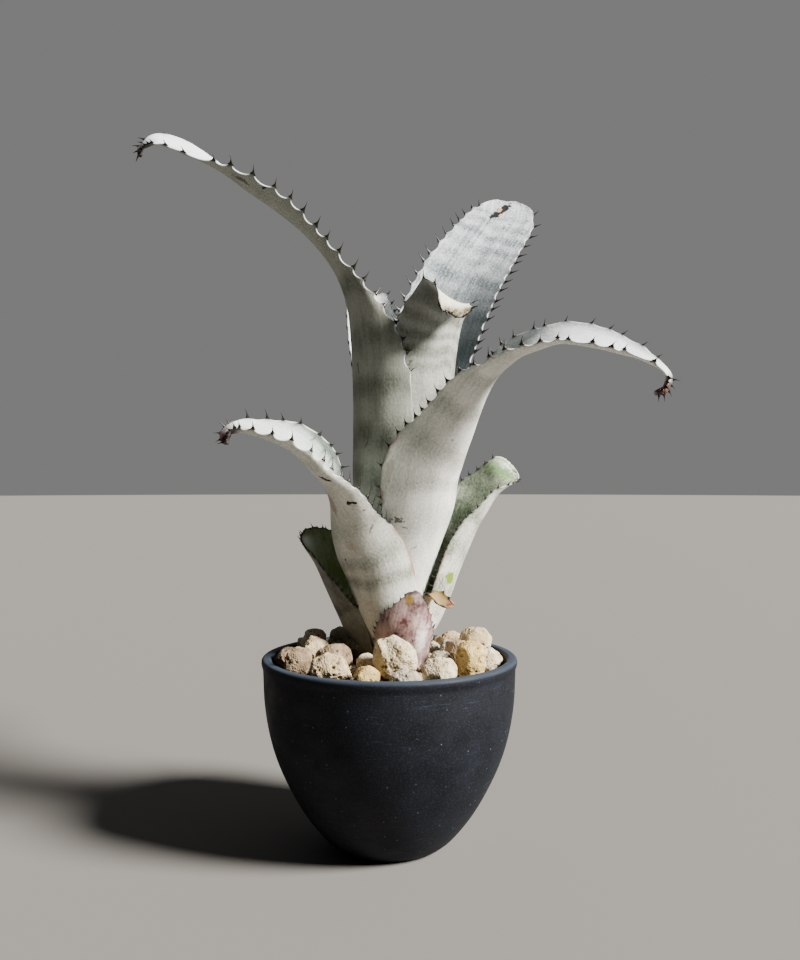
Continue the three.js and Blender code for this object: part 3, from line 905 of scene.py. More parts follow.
    def bend(self, along: Array, reach: Array, half: Array) -> tuple[Array, Array]:
        """Adds the living leaf's slight waves, its midrib groove, upturned lips and crumpled tip.

        Each is a shift along the surface's normal: soft noise over centimetres, a bell round the midrib, a
        square that grows over the last millimetres before the margin, and for the tip coarse noise in all
        directions.

        Args:
            along: distance from the base for each row.
            reach: signed distance from the midrib by row and column.
            half: half the leaf's width without its thorns' peaks, for each row.

        Returns:
            The bent middle surface and its normals, which look out of the upper face.
        """
        grid = self.surface(along, reach)
        normal = unit(np.cross(np.gradient(grid, axis=1), np.gradient(grid, axis=0)))
        long, wide = self.WAVE_CELLS
        cells = np.stack(np.broadcast_arrays(along[:, None] / long, reach / wide, float(self.seed)), -1)
        free = smoothstep(along, *self.FREE_FROM)[:, None]
        shift = self.wave * free * soft_noise(cells, self.seed, 2)
        shift -= self.groove * free * np.exp(-(reach / self.GROOVE_REACH) ** 2)
        width = np.minimum(self.lip_width, self.LIP_SHARE * half)[:, None]
        beyond = np.maximum(1 - (half[:, None] - np.abs(reach)) / width, 0)
        grown = smoothstep(along, self.lip_from - self.FADE, self.lip_from + self.FADE)[:, None]
        raised = grown * width / self.lip_width
        shift += np.where(reach < 0, *self.lip) * raised * beyond ** 2
        dry = smoothstep(along, self.length - self.dried, self.length)[:, None]
        rough = np.stack([soft_noise(grid / self.CRUMPLE_CELL, self.seed + axis, 2) for axis in range(3)], -1)
        bent = grid + normal * shift[..., None] + self.crumple * rough * dry[..., None]
        return bent, unit(np.cross(np.gradient(bent, axis=1), np.gradient(bent, axis=0)))

    def build(self) -> bpy.types.Object:
        """Makes the leaf: a closed ring of columns at each row, with both ends closed, and its thorns.

        A ring runs over the upper face from the left margin to the right one and back under the lower face.
        The leaf is thickest at the midrib, and its edges are rounded as half an ellipse.

        Returns:
            The dressed object.
        """
        along = np.linspace(0, self.length, math.ceil(self.length / self.row_step) + 1)
        half = self.frame(along)[-1]
        left, right = (np.maximum(half + self.margin_offset(along, margin) * np.minimum(half / 4, 1), 0.5)
                       for margin in Margin)
        reach = self.columns(left, right)
        edge = np.minimum(reach + left[:, None], right[:, None] - reach)
        share = (reach + left[:, None]) / (left + right)[:, None]
        grid, normal = self.bend(along, reach, half)
        thinner = (self.edge_thickness - self.middle_thickness) * (2 * share - 1) ** 2
        thickness = self.middle_thickness + thinner
        inside = np.clip(1 - edge / (self.edge_round * self.squeeze(left, right)), 0, 1)
        lift = normal * (thickness * np.sqrt(1 - inside ** 2) / 2)[..., None]
        columns = reach.shape[1]
        ring = np.concatenate([grid + lift, (grid - lift)[:, -2:0:-1]], axis=1)
        around = np.concatenate([np.arange(columns), np.arange(columns - 2, 0, -1)])
        sheets = Sheets()
        quads, triangles = self.skin(len(along), columns)
        sheets.add(ring, quads, triangles,
                   **self.values(ring, along, reach[:, around], edge[:, around], share[:, around]))
        course = np.gradient(self.surface(along, np.stack([-half, half], -1)), axis=0)
        for margin, side, beside, width in ((Margin.LEFT, 0, 5, left), (Margin.RIGHT, -1, -6, right)):
            outward = grid[:, side] - grid[:, beside]
            edges = np.concatenate([grid[:, side], outward, normal[:, side], course[:, side]], axis=1)
            self.add_thorns(sheets, margin, along, width, edges)
        piece = sheets.build(self.name + "_blade")
        dress(piece, self.finish.build([(mark, *self.mark_frame(mark)) for mark in self.marks]))
        settle(piece, self.slot, self.name)
        return piece

    def skin(self, rows: int, columns: int) -> tuple[Array, Array]:
        """Faces of the leaf: the rings' tube, and at both ends a strip between the upper and the lower face.

        Args:
            rows: how many rings there are.
            columns: how many vertices stand on the upper face of a ring.

        Returns:
            Four-sided and three-sided faces.
        """
        ring = 2 * columns - 2
        under = (ring - np.arange(columns)) % ring
        pair = np.arange(1, columns - 2)
        strip = np.stack([pair + 1, pair, under[pair], under[pair + 1]], -1)
        corners = np.array([[1, 0, under[1]], [columns - 1, columns - 2, under[columns - 2]]])
        last = (rows - 1) * ring
        return (np.concatenate([tube_quads(rows, ring).reshape(-1, 4), strip, strip[:, ::-1] + last]),
                np.concatenate([corners, corners[:, ::-1] + last]))

    def values(self, ring: Array, along: Array, reach: Array, edge: Array, share: Array) -> dict[str, Array]:
        """What the finish reads at each vertex of the rings.

        Args:
            ring: the vertices.
            along: distance from the base for each row.
            reach: signed distance from the midrib.
            edge: distance from the nearer margin.
            share: place across the leaf, from 0 to 1.

        Returns:
            The attributes by name.
        """
        onto = along[:, None] + 0 * reach
        columns = reach.shape[1] // 2 + 1
        inner = np.zeros(reach.shape[1])
        inner[1:columns - 1] = 1.0
        inner[[0, columns - 1]] = 0.5
        inner = inner + 0 * onto
        ragged = onto + self.DRY_WANDER * soft_noise(ring / 3, self.seed + 9, 2)
        toothed = smoothstep(onto, self.first_thorn - self.FADE, self.first_thorn)
        return {"along": onto, "arc": reach, "inner": inner, "band": self.banding(onto, reach),
                "dry": smoothstep(ragged, self.length - self.dried, self.length - 0.35 * self.dried),
                "rim": self.RIM_STRENGTH * np.exp(-(edge / self.RIM_REACH) ** 2) * toothed,
                "stain": self.staining(along, share, edge),
                "tint": self.tinting(onto, reach, inner),
                "blush": self.blushing(onto, share, edge)}

    def banding(self, along: Array, reach: Array) -> Array:
        """Sums the cross-bands: flat-topped bells along the leaf, whose edges wander by soft noise."""
        long, wide = self.BAND_CELLS
        cells = np.stack(np.broadcast_arrays(along / long, reach / wide, float(self.seed)), -1)
        wander = along + self.BAND_WANDER * soft_noise(cells, self.seed + 40, 3)
        total = np.zeros_like(wander)
        for band in self.bands:
            away = np.abs((wander - band.middle) / band.half_width)
            total += band.depth * np.exp(-away ** self.BAND_POWER)
        return np.clip(total, 0, 1)

    def blushing(self, along: Array, share: Array, edge: Array) -> Array:
        """The bare red-brown edge of the sheath: a bell from one margin, of a width that wanders."""
        wide = 0.5 + 0.4 * soft_noise(np.stack([along / 5, 0 * along, 0 * along], -1), self.seed + 3, 2)
        start, end = self.blush
        begun = smoothstep(along, start, start + self.BLUSH_FADE)
        bare = begun * (1 - smoothstep(along, end - self.BLUSH_FADE, end + 0.01))
        on_side = (share - 0.5) * self.blush_margin.value > 0
        return on_side * bare * np.exp(-(edge / np.maximum(self.BLUSH_REACH * wide, 0.3)) ** 2)

    def staining(self, along: Array, share: Array, edge: Array) -> Array:
        """Horn colour on the margin: a bell round each thorn's foot, less with distance from the edge.

        Args:
            along: distance from the base for each row.
            share: place across the leaf, from 0 to 1.
            edge: distance from the nearer margin.

        Returns:
            The stain from 0 to 1.
        """
        stain = np.zeros_like(edge)
        for margin in Margin:
            place, _ = self.thorn_rows[margin]
            nearest = np.abs(along[:, None] - place[None, :]).min(axis=1)[:, None]
            on_side = (share - 0.5) * margin.value > 0
            beside = np.exp(-nearest ** self.STAIN_POWER)
            stain += on_side * beside * np.exp(-(edge / self.STAIN_REACH) ** 2)
        return np.clip(self.STAIN_STRENGTH * stain, 0, 1)

    def tinting(self, along: Array, reach: Array, inner: Array) -> Array:
        """Sums the tint patches, each a bell along and across the leaf on its own face."""
        tint = np.zeros_like(reach)
        for patch in self.patches:
            lengthwise = (along - patch.along) / patch.half_length
            crosswise = (reach - patch.arc) / patch.half_width
            face = inner if patch.on_inner else 1 - inner
            tint += patch.strength * np.exp(-lengthwise ** 2 - crosswise ** 2) * face
        return np.clip(tint, 0, 1)

    def mark_frame(self, mark: Mark) -> tuple[Array, Array]:
        """Finds a mark's place on the middle surface.

        Args:
            mark: the mark.

        Returns:
            Its middle, and unit rows along the leaf, across it and out of its upper face.
        """
        along = mark.along + np.array([0.0, 0.5, 0.0])
        reach = mark.arc + np.array([[0.0], [0.0], [0.5]])
        centre, ahead, beside = self.surface(along, reach)[:, 0]
        lengthwise = unit(ahead - centre)
        normal = unit(np.cross(beside - centre, lengthwise))
        return centre, np.stack([lengthwise, np.cross(lengthwise, normal), normal])

    def add_thorns(self, sheets: Sheets, margin: Margin, along: Array, width: Array, edges: Array) -> None:
        """Adds one margin's thorns, each on the margin, square to it and leaning by the thorns' lean.

        Args:
            sheets: the leaf's mesh.
            margin: which edge.
            along: distance from the base for each row.
            width: the margin's distance from the midrib, for each row.
            edges: the margin's place, a direction out of the leaf, the upper face's normal and the way that
                the margin runs, for each row.
        """
        place, size = self.thorn_rows[margin]
        rows = np.stack([np.interp(place, along, edges[:, column]) for column in range(12)], -1)
        feet = rows[:, :3]
        outward, normal, tangent = (unit(rows[:, first:first + 3]) for first in (3, 6, 9))
        square = outward - tangent * (outward * tangent).sum(axis=1)[:, None]
        outward = unit(square + self.thorns.lean * normal)
        zero = np.zeros_like(place)
        reach = margin.value * np.interp(place, along, width)
        self.thorns.add_to(sheets, feet, outward, tangent, size, along=place, arc=reach, inner=zero + 0.5,
                           stain=zero + 1, band=zero, dry=zero, rim=zero, tint=zero, blush=zero)


def lathe(profile: Array, sides: int) -> tuple[Array, Array, Array]:
    """Turns a profile round Z: at each angle a, radius times cos a and sin a, with one vertex at each pole.

    Args:
        profile: radius and height rows, from the underside's centre outwards, up and back to the axis.
        sides: how many steps go round.

    Returns:
        Places, four-sided faces and the triangles at the poles, facing outwards.
    """
    angle = np.linspace(0, 2 * math.pi, sides, endpoint=False)
    radius, height = profile[1:-1, :1], profile[1:-1, 1:]
    rings = np.stack([radius * np.cos(angle), radius * np.sin(angle), height + 0 * angle], -1).reshape(-1, 3)
    poles = np.array([[0, 0, profile[0, 1]], [0, 0, profile[-1, 1]]])
    ring = np.arange(sides)
    after = (ring + 1) % sides
    last = len(rings) - sides
    bottom = np.stack([np.full(sides, len(rings)), after, ring], -1)
    top = np.stack([last + ring, last + after, np.full(sides, len(rings) + 1)], -1)
    quads = tube_quads(len(profile) - 2, sides).reshape(-1, 4)
    return np.concatenate([rings, poles]), quads, np.concatenate([bottom, top])


def fillet(corner: tuple[float, float], radius: float, start: float, end: float) -> Array:
    """An arc of a profile's rounded corner: its centre plus the radius times the angle's cosine and sine.

    Args:
        corner: the arc's centre as radius and height.
        radius: the arc's radius.
        start: its first angle in degrees, from outward towards up.
        end: its last angle.

    Returns:
        Radius and height rows.
    """
    angle = np.radians(np.linspace(start, end, 9))
    return np.stack([corner[0] + radius * np.cos(angle), corner[1] + radius * np.sin(angle)], -1)


@dataclass(frozen=True)
class DustyBlackPlastic:
    """Injection-moulded polypropylene with a dull eggshell grain, dry dust and rubbed scuffs.

    It looks blue-black and matte, a little lighter in cloudy patches, with hairline scratches, pale specks
    and a rim whose top edge is paler: a painted highlight along the edge, with wear.
    """

    name: str = "black_moulded_plastic"
    deep: str = "#010309"
    worn: str = "#060a13"
    dust: str = "#58677c"
    roughness: float = 0.6
    dusty_roughness: float = 0.8
    # The paler band at the top of the rim, a painted highlight with wear: its top and its height
    rim_height: float = 77.0
    rim_highlight_and_wear_band: float = 1.6
    speck_pitch: float = 4.5

    # Cells in millimetres and detail: clouds, a grain drawn coarser than the real 0.1 mm so that it shows,
    # scratches that run round the pot, and the patches that bear them
    PATTERNS = (("cloud", (14, 14, 10), 6.0), ("grain", (0.6, 0.6, 0.6), 2.0),
                ("rub", (9, 9, 0.5), 3.0), ("patch", (22, 22, 16), 2.0))
    # Ranges of raw noise that are spread over 0 to 1, or over 0 to the strength that is given last
    CLOUDED = {1: 0.38, 2: 0.68}
    RUBBED = {1: 0.62, 2: 0.8, 4: 0.25}
    PATCHY = {1: 0.45, 2: 0.65}
    POWDERED = {1: 0.5, 2: 0.8, 4: 0.1}
    # Between which distances from its middle, in cells, a speck fades in, and its strength
    SPECK = {1: 0.085, 2: 0.03, 3: 0.0, 4: 0.6}
    # How strong the paler rim top is, a painted highlight with wear
    RIM_STRENGTH = 0.22

    def build(self) -> Material:
        """Makes the material: cloudy wear, rubbed scratches, specks and powder of dust, and the paler rim
        top, a painted highlight with wear.

        Returns:
            The node material.
        """
        material, tree = new_material(self.name, {"IOR": 1.49, "Specular IOR Level": 0.22})
        place = add_node(tree, "ShaderNodeTexCoord").outputs["Object"]
        pattern = {}
        for name, cell, detail in self.PATTERNS:
            scale = tuple(1 / (side * MM) for side in cell)
            scaled = add_node(tree, "ShaderNodeVectorMath", {0: place, 1: scale}, operation="MULTIPLY")
            noise = add_node(tree, "ShaderNodeTexNoise",
                             {"Vector": scaled.outputs["Vector"], "Scale": 1.0, "Detail": detail})
            pattern[name] = noise.outputs["Fac"]
        cells = add_node(tree, "ShaderNodeTexVoronoi",
                         {"Vector": place, "Scale": 1 / (self.speck_pitch * MM)})
        height = add_node(tree, "ShaderNodeSeparateXYZ", {0: place}).outputs["Z"]
        rim = {1: (self.rim_height - self.rim_highlight_and_wear_band) * MM, 2: self.rim_height * MM, 4: self.RIM_STRENGTH}
        ranges = ((pattern["cloud"], self.CLOUDED), (pattern["rub"], self.RUBBED),
                  (pattern["patch"], self.PATCHY), (cells.outputs["Distance"], self.SPECK),
                  (pattern["grain"], self.POWDERED), (height, rim))
        cloud, rub, patch, speck, powder, rim_highlight_and_wear = (
            add_node(tree, "ShaderNodeMapRange", {0: source} | spread).outputs[0]
            for source, spread in ranges)
        rub = add_node(tree, "ShaderNodeMath", {0: rub, 1: patch}, operation="MULTIPLY").outputs[0]
        # The rim top's paler band takes the dust colour too: it is a painted highlight along the rim's edge,
        # with wear
        dust_and_rim_highlight = [(mask, self.dust) for mask in (rub, speck, powder, rim_highlight_and_wear)]
        colour = overlay(tree, self.deep, [(cloud, self.worn)] + dust_and_rim_highlight)
        rough = add_node(tree, "ShaderNodeMapRange", {0: cloud, 3: self.roughness, 4: self.dusty_roughness})
        bump = add_node(tree, "ShaderNodeBump",
                        {"Height": pattern["grain"], "Strength": 0.3, "Distance": 0.12 * MM})
        feed_shader(tree, {"Base Color": colour, "Roughness": rough.outputs[0],
                           "Normal": bump.outputs["Normal"]})
        return material


@dataclass
class Pot:
    """The bowl: a flat foot with drain holes, a curved wall and a rounded rim over a shallow band."""

    height: float = 77.0
    rim_radius: float = 52.5
    rim_width: float = 4.2
    outer_lip: float = 1.4
    inner_lip: float = 1.2
    band: float = 5.0
    band_step: float = 0.7
    band_rise: float = 3.2
    wall: float = 3.0
    floor: float = 3.5
    floor_corner: float = 1.5
    drain_radius: float = 3.0
    drain_circle: float = 13.0
    drains: int = 4
    drill_overrun: float = 2.0
    sides: int = 192
    wall_rows: int = 56
    inside_rows: int = 30
    # The part of the outside's curve that the wall takes, between the foot's edge and the band
    wall_part: tuple[float, float] = (0.06, 0.99)
    sharp_degrees: float = 35.0
    # The underside as radius and height, from its centre to the rounded edge of the foot
    foot: tuple[tuple[float, float], ...] = ((0, 0), (8, 0), (16, 0), (20.6, 0), (21.6, 0.12), (22.3, 0.5))
    # The outside as radius and height, from the foot to the band
    stations: tuple[tuple[float, float], ...] = (
        (22, 0), (27.8, 5), (35.2, 14.5), (41.2, 25), (46.1, 36), (49.3, 47), (51.2, 59), (51.8, 72))
    finish: DustyBlackPlastic = DustyBlackPlastic()

    def outside(self, share: Array) -> Array:
        """The wall's outside, a smooth curve through the stations, from 0 at the foot to 1 at the band."""
        return Rail(np.array(self.stations, float)).at(share)

    def inside_radius(self, height: Array) -> Array:
        """The wall's inside radius: the outside's at that height, less the wall, and never past the rim's."""
        curve = self.outside(np.linspace(0, 1, 80))
        inside = np.interp(height, curve[:, 1], curve[:, 0]) - self.wall
        return np.minimum(inside, self.rim_radius - self.rim_width)

    def profile(self) -> Array:
        """Joins the foot, the wall, the band, the rounded rim, the inside and the floor into one profile."""
        low = self.height - self.band
        inner = self.rim_radius - self.rim_width
        rise = np.linspace(0, 1, 9)
        step = self.stations[-1][0] + self.band_step * smoothstep(rise, 0, 1)
        heights = np.linspace(low, self.floor + self.floor_corner, self.inside_rows)
        inside = np.stack([self.inside_radius(heights), heights], -1)
        return np.concatenate([
            self.foot,
            self.outside(np.linspace(*self.wall_part, self.wall_rows)),
            np.stack([step, low + self.band_rise * rise], -1),
            fillet((self.rim_radius - self.outer_lip, self.height - self.outer_lip), self.outer_lip, 0, 90),
            fillet((inner + self.inner_lip, self.height - self.inner_lip), self.inner_lip, 90, 180),
            inside,
            [[inside[-1, 0] - self.floor_corner, self.floor], [12, self.floor], [0, self.floor]],
        ])

    def build(self) -> bpy.types.Object:
        """Turns the profile and drills the drain holes beside the middle of the foot.

        Returns:
            The dressed object.
        """
        body = Sheets()
        body.add(*lathe(self.profile(), self.sides))
        piece = body.build("pot_bowl", self.sharp_degrees)
        drills = Sheets()
        low, high = -self.drill_overrun, self.floor + self.drill_overrun
        plug = np.array([[0, low], [self.drain_radius, low], [self.drain_radius, high], [0, high]])
        for index in range(self.drains):
            angle = (index + 0.5) * 2 * math.pi / self.drains
            places, quads, triangles = lathe(plug, 40)
            centre = self.drain_circle * np.array([math.cos(angle), math.sin(angle), 0])
            drills.add(places + centre, quads, triangles)
        drill = drills.build("drain_drill")
        cut = piece.modifiers.new("drains", "BOOLEAN")
        cut.operation = "DIFFERENCE"
        cut.solver = "EXACT"
        cut.object = drill
        drilled = bpy.data.meshes.new_from_object(piece.evaluated_get(bpy.context.evaluated_depsgraph_get()))
        piece.modifiers.clear()
        piece.data = drilled
        bpy.data.objects.remove(drill)
        piece.data.set_sharp_from_angle(angle=math.radians(self.sharp_degrees))
        dress(piece, self.finish.build())
        settle(piece, "pot", "pot")
        return piece


@dataclass(frozen=True)
class BarkMix:
    """Composted bark, coir and fine pumice: dark brown crumbs with pale grit, dull and damp-looking."""

    name: str = "bark_and_grit_mix"
    dark: str = "#2a211a"
    light: str = "#5b4a3a"
    grit: str = "#a2937a"
    crumb: float = 1.5

    def build(self) -> Material:
        """Makes the material: crumbs of 1.5 mm in two browns, and one in seven of pale grit.

        Returns:
            The node material.
        """
        material, tree = new_material(self.name, {"Roughness": 0.92})
        place = add_node(tree, "ShaderNodeTexCoord").outputs["Object"]
        crumb = add_node(tree, "ShaderNodeTexVoronoi", {"Vector": place, "Scale": 1 / (self.crumb * MM)})
        tone = add_node(tree, "ShaderNodeSeparateColor", {0: crumb.outputs["Color"]})
        pale = add_node(tree, "ShaderNodeMapRange", {0: tone.outputs[1], 1: 0.83, 2: 0.87}).outputs[0]
        colour = overlay(tree, self.dark, [(tone.outputs[0], self.light), (pale, self.grit)])
        bump = add_node(tree, "ShaderNodeBump",
                        {"Height": crumb.outputs["Distance"], "Strength": 0.6, "Distance": 0.4 * MM},
                        invert=True)
        feed_shader(tree, {"Base Color": colour, "Normal": bump.outputs["Normal"]})
        return material


@dataclass
class PottingMix:
    """The mix that fills the pot: a low mound whose top is lumpy with crumbs."""

    top: float = 75.0
    edge: float = 70.0
    clearance: float = 0.6
    bottom_clearance: float = 0.3
    sides: int = 300
    rings: int = 60
    crumb: float = 2.6
    small_crumb: float = 1.3
    relief: float = 1.1
    # How deep the mound dips round the stem, and between which distances from the axis the dip ends
    dip: float = 1.2
    dip_end: tuple[float, float] = (12.0, 17.0)
    finish: BarkMix = BarkMix()

    def height(self, distance: Array, pot: Pot) -> Array:
        """The mound's height: a parabola from the middle to the wall."""
        share = distance / (pot.rim_radius - pot.rim_width)
        return self.top + (self.edge - self.top) * share ** 2

    def build(self, pot: Pot) -> bpy.types.Object:
        """Turns the fill's profile and lifts the mound by crumbs: 1 less the distance to a cell's point.

        Args:
            pot: the pot that holds the mix.

        Returns:
            The dressed object.
        """
        heights = np.linspace(pot.floor + pot.floor_corner, self.edge - 0.5, 24)
        wall = np.stack([pot.inside_radius(heights) - self.clearance, heights], -1)
        wall[:, 0] = np.minimum(wall[:, 0], wall[-1, 0])
        out = wall[-1, 0] * np.linspace(1, 0, self.rings + 1)
        mound = np.stack([out, self.height(out, pot)], -1)
        bottom = pot.floor + self.bottom_clearance
        base = [[0, bottom], [wall[0, 0] - 2, bottom]]
        places, quads, triangles = lathe(np.concatenate([base, wall, mound]), self.sides)
        distance = np.hypot(places[:, 0], places[:, 1])
        on_top = smoothstep(places[:, 2], self.edge - 0.4, self.edge - 0.05)
        small = 1 - cell_distance(places / self.small_crumb, 6)
        lumps = 1 - cell_distance(places / self.crumb, 5) + 0.5 * small
        sunk = self.dip * (1 - smoothstep(distance, *self.dip_end))
        places[:, 2] += on_top * (self.relief * (lumps - 0.6) - sunk)
        sheets = Sheets()
        sheets.add(places, quads, triangles)
        piece = sheets.build("potting_mix_fill")
        dress(piece, self.finish.build())
        settle(piece, "potting_mix", "potting_mix")
        return piece


@dataclass(frozen=True)
class DryStem:
    """The short stem's old corky rind: brown, fibrous and dull."""

    name: str = "corky_stem"
    dark: str = "#4b3a2a"
    light: str = "#8b7558"
    fibre: tuple[float, float, float] = (0.7, 0.7, 9.0)

    def build(self) -> Material:
        """Makes the material: fibres that run up the stem, 0.7 mm wide.

        Returns:
            The node material.
        """
        material, tree = new_material(self.name, {"Roughness": 0.9})
        place = add_node(tree, "ShaderNodeTexCoord").outputs["Object"]
        scale = tuple(1 / (side * MM) for side in self.fibre)
        fibre = add_node(tree, "ShaderNodeVectorMath", {0: place, 1: scale}, operation="MULTIPLY")
        noise = add_node(tree, "ShaderNodeTexNoise",
                         {"Vector": fibre.outputs["Vector"], "Scale": 1.0, "Detail": 4.0}).outputs["Fac"]
        colour = overlay(tree, self.dark, [(noise, self.light)])
        bump = add_node(tree, "ShaderNodeBump", {"Height": noise, "Strength": 0.5, "Distance": 0.4 * MM})
        feed_shader(tree, {"Base Color": colour, "Normal": bump.outputs["Normal"]})
        return material


def ball(steps: int) -> tuple[Array, Array]:
    """A ball of four-sided faces: a cube's grid, even by angle, pushed out to the sphere, with shared edges.

    Args:
        steps: how many faces stand along an edge of the cube.

    Returns:
        Unit directions, and faces that look outwards.
    """
    line = np.tan(np.linspace(-1, 1, steps + 1) * math.pi / 4)
    first, second = np.meshgrid(line, line, indexing="ij")
    sides = []
    for axis in range(3):
        for sign in (-1.0, 1.0):
            side = np.full(first.shape + (3,), sign)
            side[..., (axis + 1) % 3] = first * sign
            side[..., (axis + 2) % 3] = second
            sides.append(side.reshape(-1, 3))
    points = np.round(np.concatenate(sides), 6) + 0.0
    shared, number = np.unique(points, axis=0, return_inverse=True)
    grid = number.reshape(6, steps + 1, steps + 1)
    quads = np.stack([grid[:, :-1, :-1], grid[:, 1:, :-1], grid[:, 1:, 1:], grid[:, :-1, 1:]], -1)
    return unit(shared), quads.reshape(-1, 4)


class StoneTint(Enum):
    """The colours that the stones come in: clean face, weathered face and the dark inside of its pores."""

    CREAM = ("#d2c6ac", "#a39375", "#43382a")
    TAN = ("#bdab8a", "#8b7758", "#3b2e20")
    BROWN = ("#94816a", "#655440", "#291f17")
    YELLOW = ("#c6ad75", "#9c8653", "#57462a")
    GREY = ("#b3ac9e", "#807969", "#38322a")


@dataclass(frozen=True)
class Pumice:
    """Washed pumice: dry, chalky volcanic froth, with open pores that hold dust and shade."""

    tint: StoneTint
    cloud: float = 5.0
    froth: float = 0.75

    # Ranges of the cloud's noise and of the distance from a bubble's middle, in cells, with its strength
    WEATHERED = {1: 0.4, 2: 0.68}
    BUBBLE = {1: 0.36, 2: 0.12, 4: 0.55}

    def build(self) -> Material:
        """Makes the material: clouds of two tones, a fine froth, and dark in the pores that the mesh carries.

        Returns:
            The node material.
        """
        clean, weathered, pore = self.tint.value
        material, tree = new_material("pumice_" + self.tint.name.lower(),
                                      {"Roughness": 0.95, "Specular IOR Level": 0.2})
        place = add_node(tree, "ShaderNodeTexCoord").outputs["Object"]
        cloud = add_node(tree, "ShaderNodeTexNoise",
                         {"Vector": place, "Scale": 1 / (self.cloud * MM), "Detail": 6.0}).outputs["Fac"]
        froth = add_node(tree, "ShaderNodeTexVoronoi",
                         {"Vector": place, "Scale": 1 / (self.froth * MM)}).outputs["Distance"]
        tone = add_node(tree, "ShaderNodeMapRange", {0: cloud} | self.WEATHERED).outputs[0]
        hole = add_node(tree, "ShaderNodeMapRange", {0: froth} | self.BUBBLE).outputs[0]
        sunk = add_node(tree, "ShaderNodeAttribute", attribute_name="pore").outputs["Fac"]
        colour = overlay(tree, clean, [(tone, weathered), (hole, pore), (sunk, pore)])
        bump = add_node(tree, "ShaderNodeBump", {"Height": froth, "Strength": 0.9, "Distance": 0.3 * MM})
        feed_shader(tree, {"Base Color": colour, "Normal": bump.outputs["Normal"]})
        return material


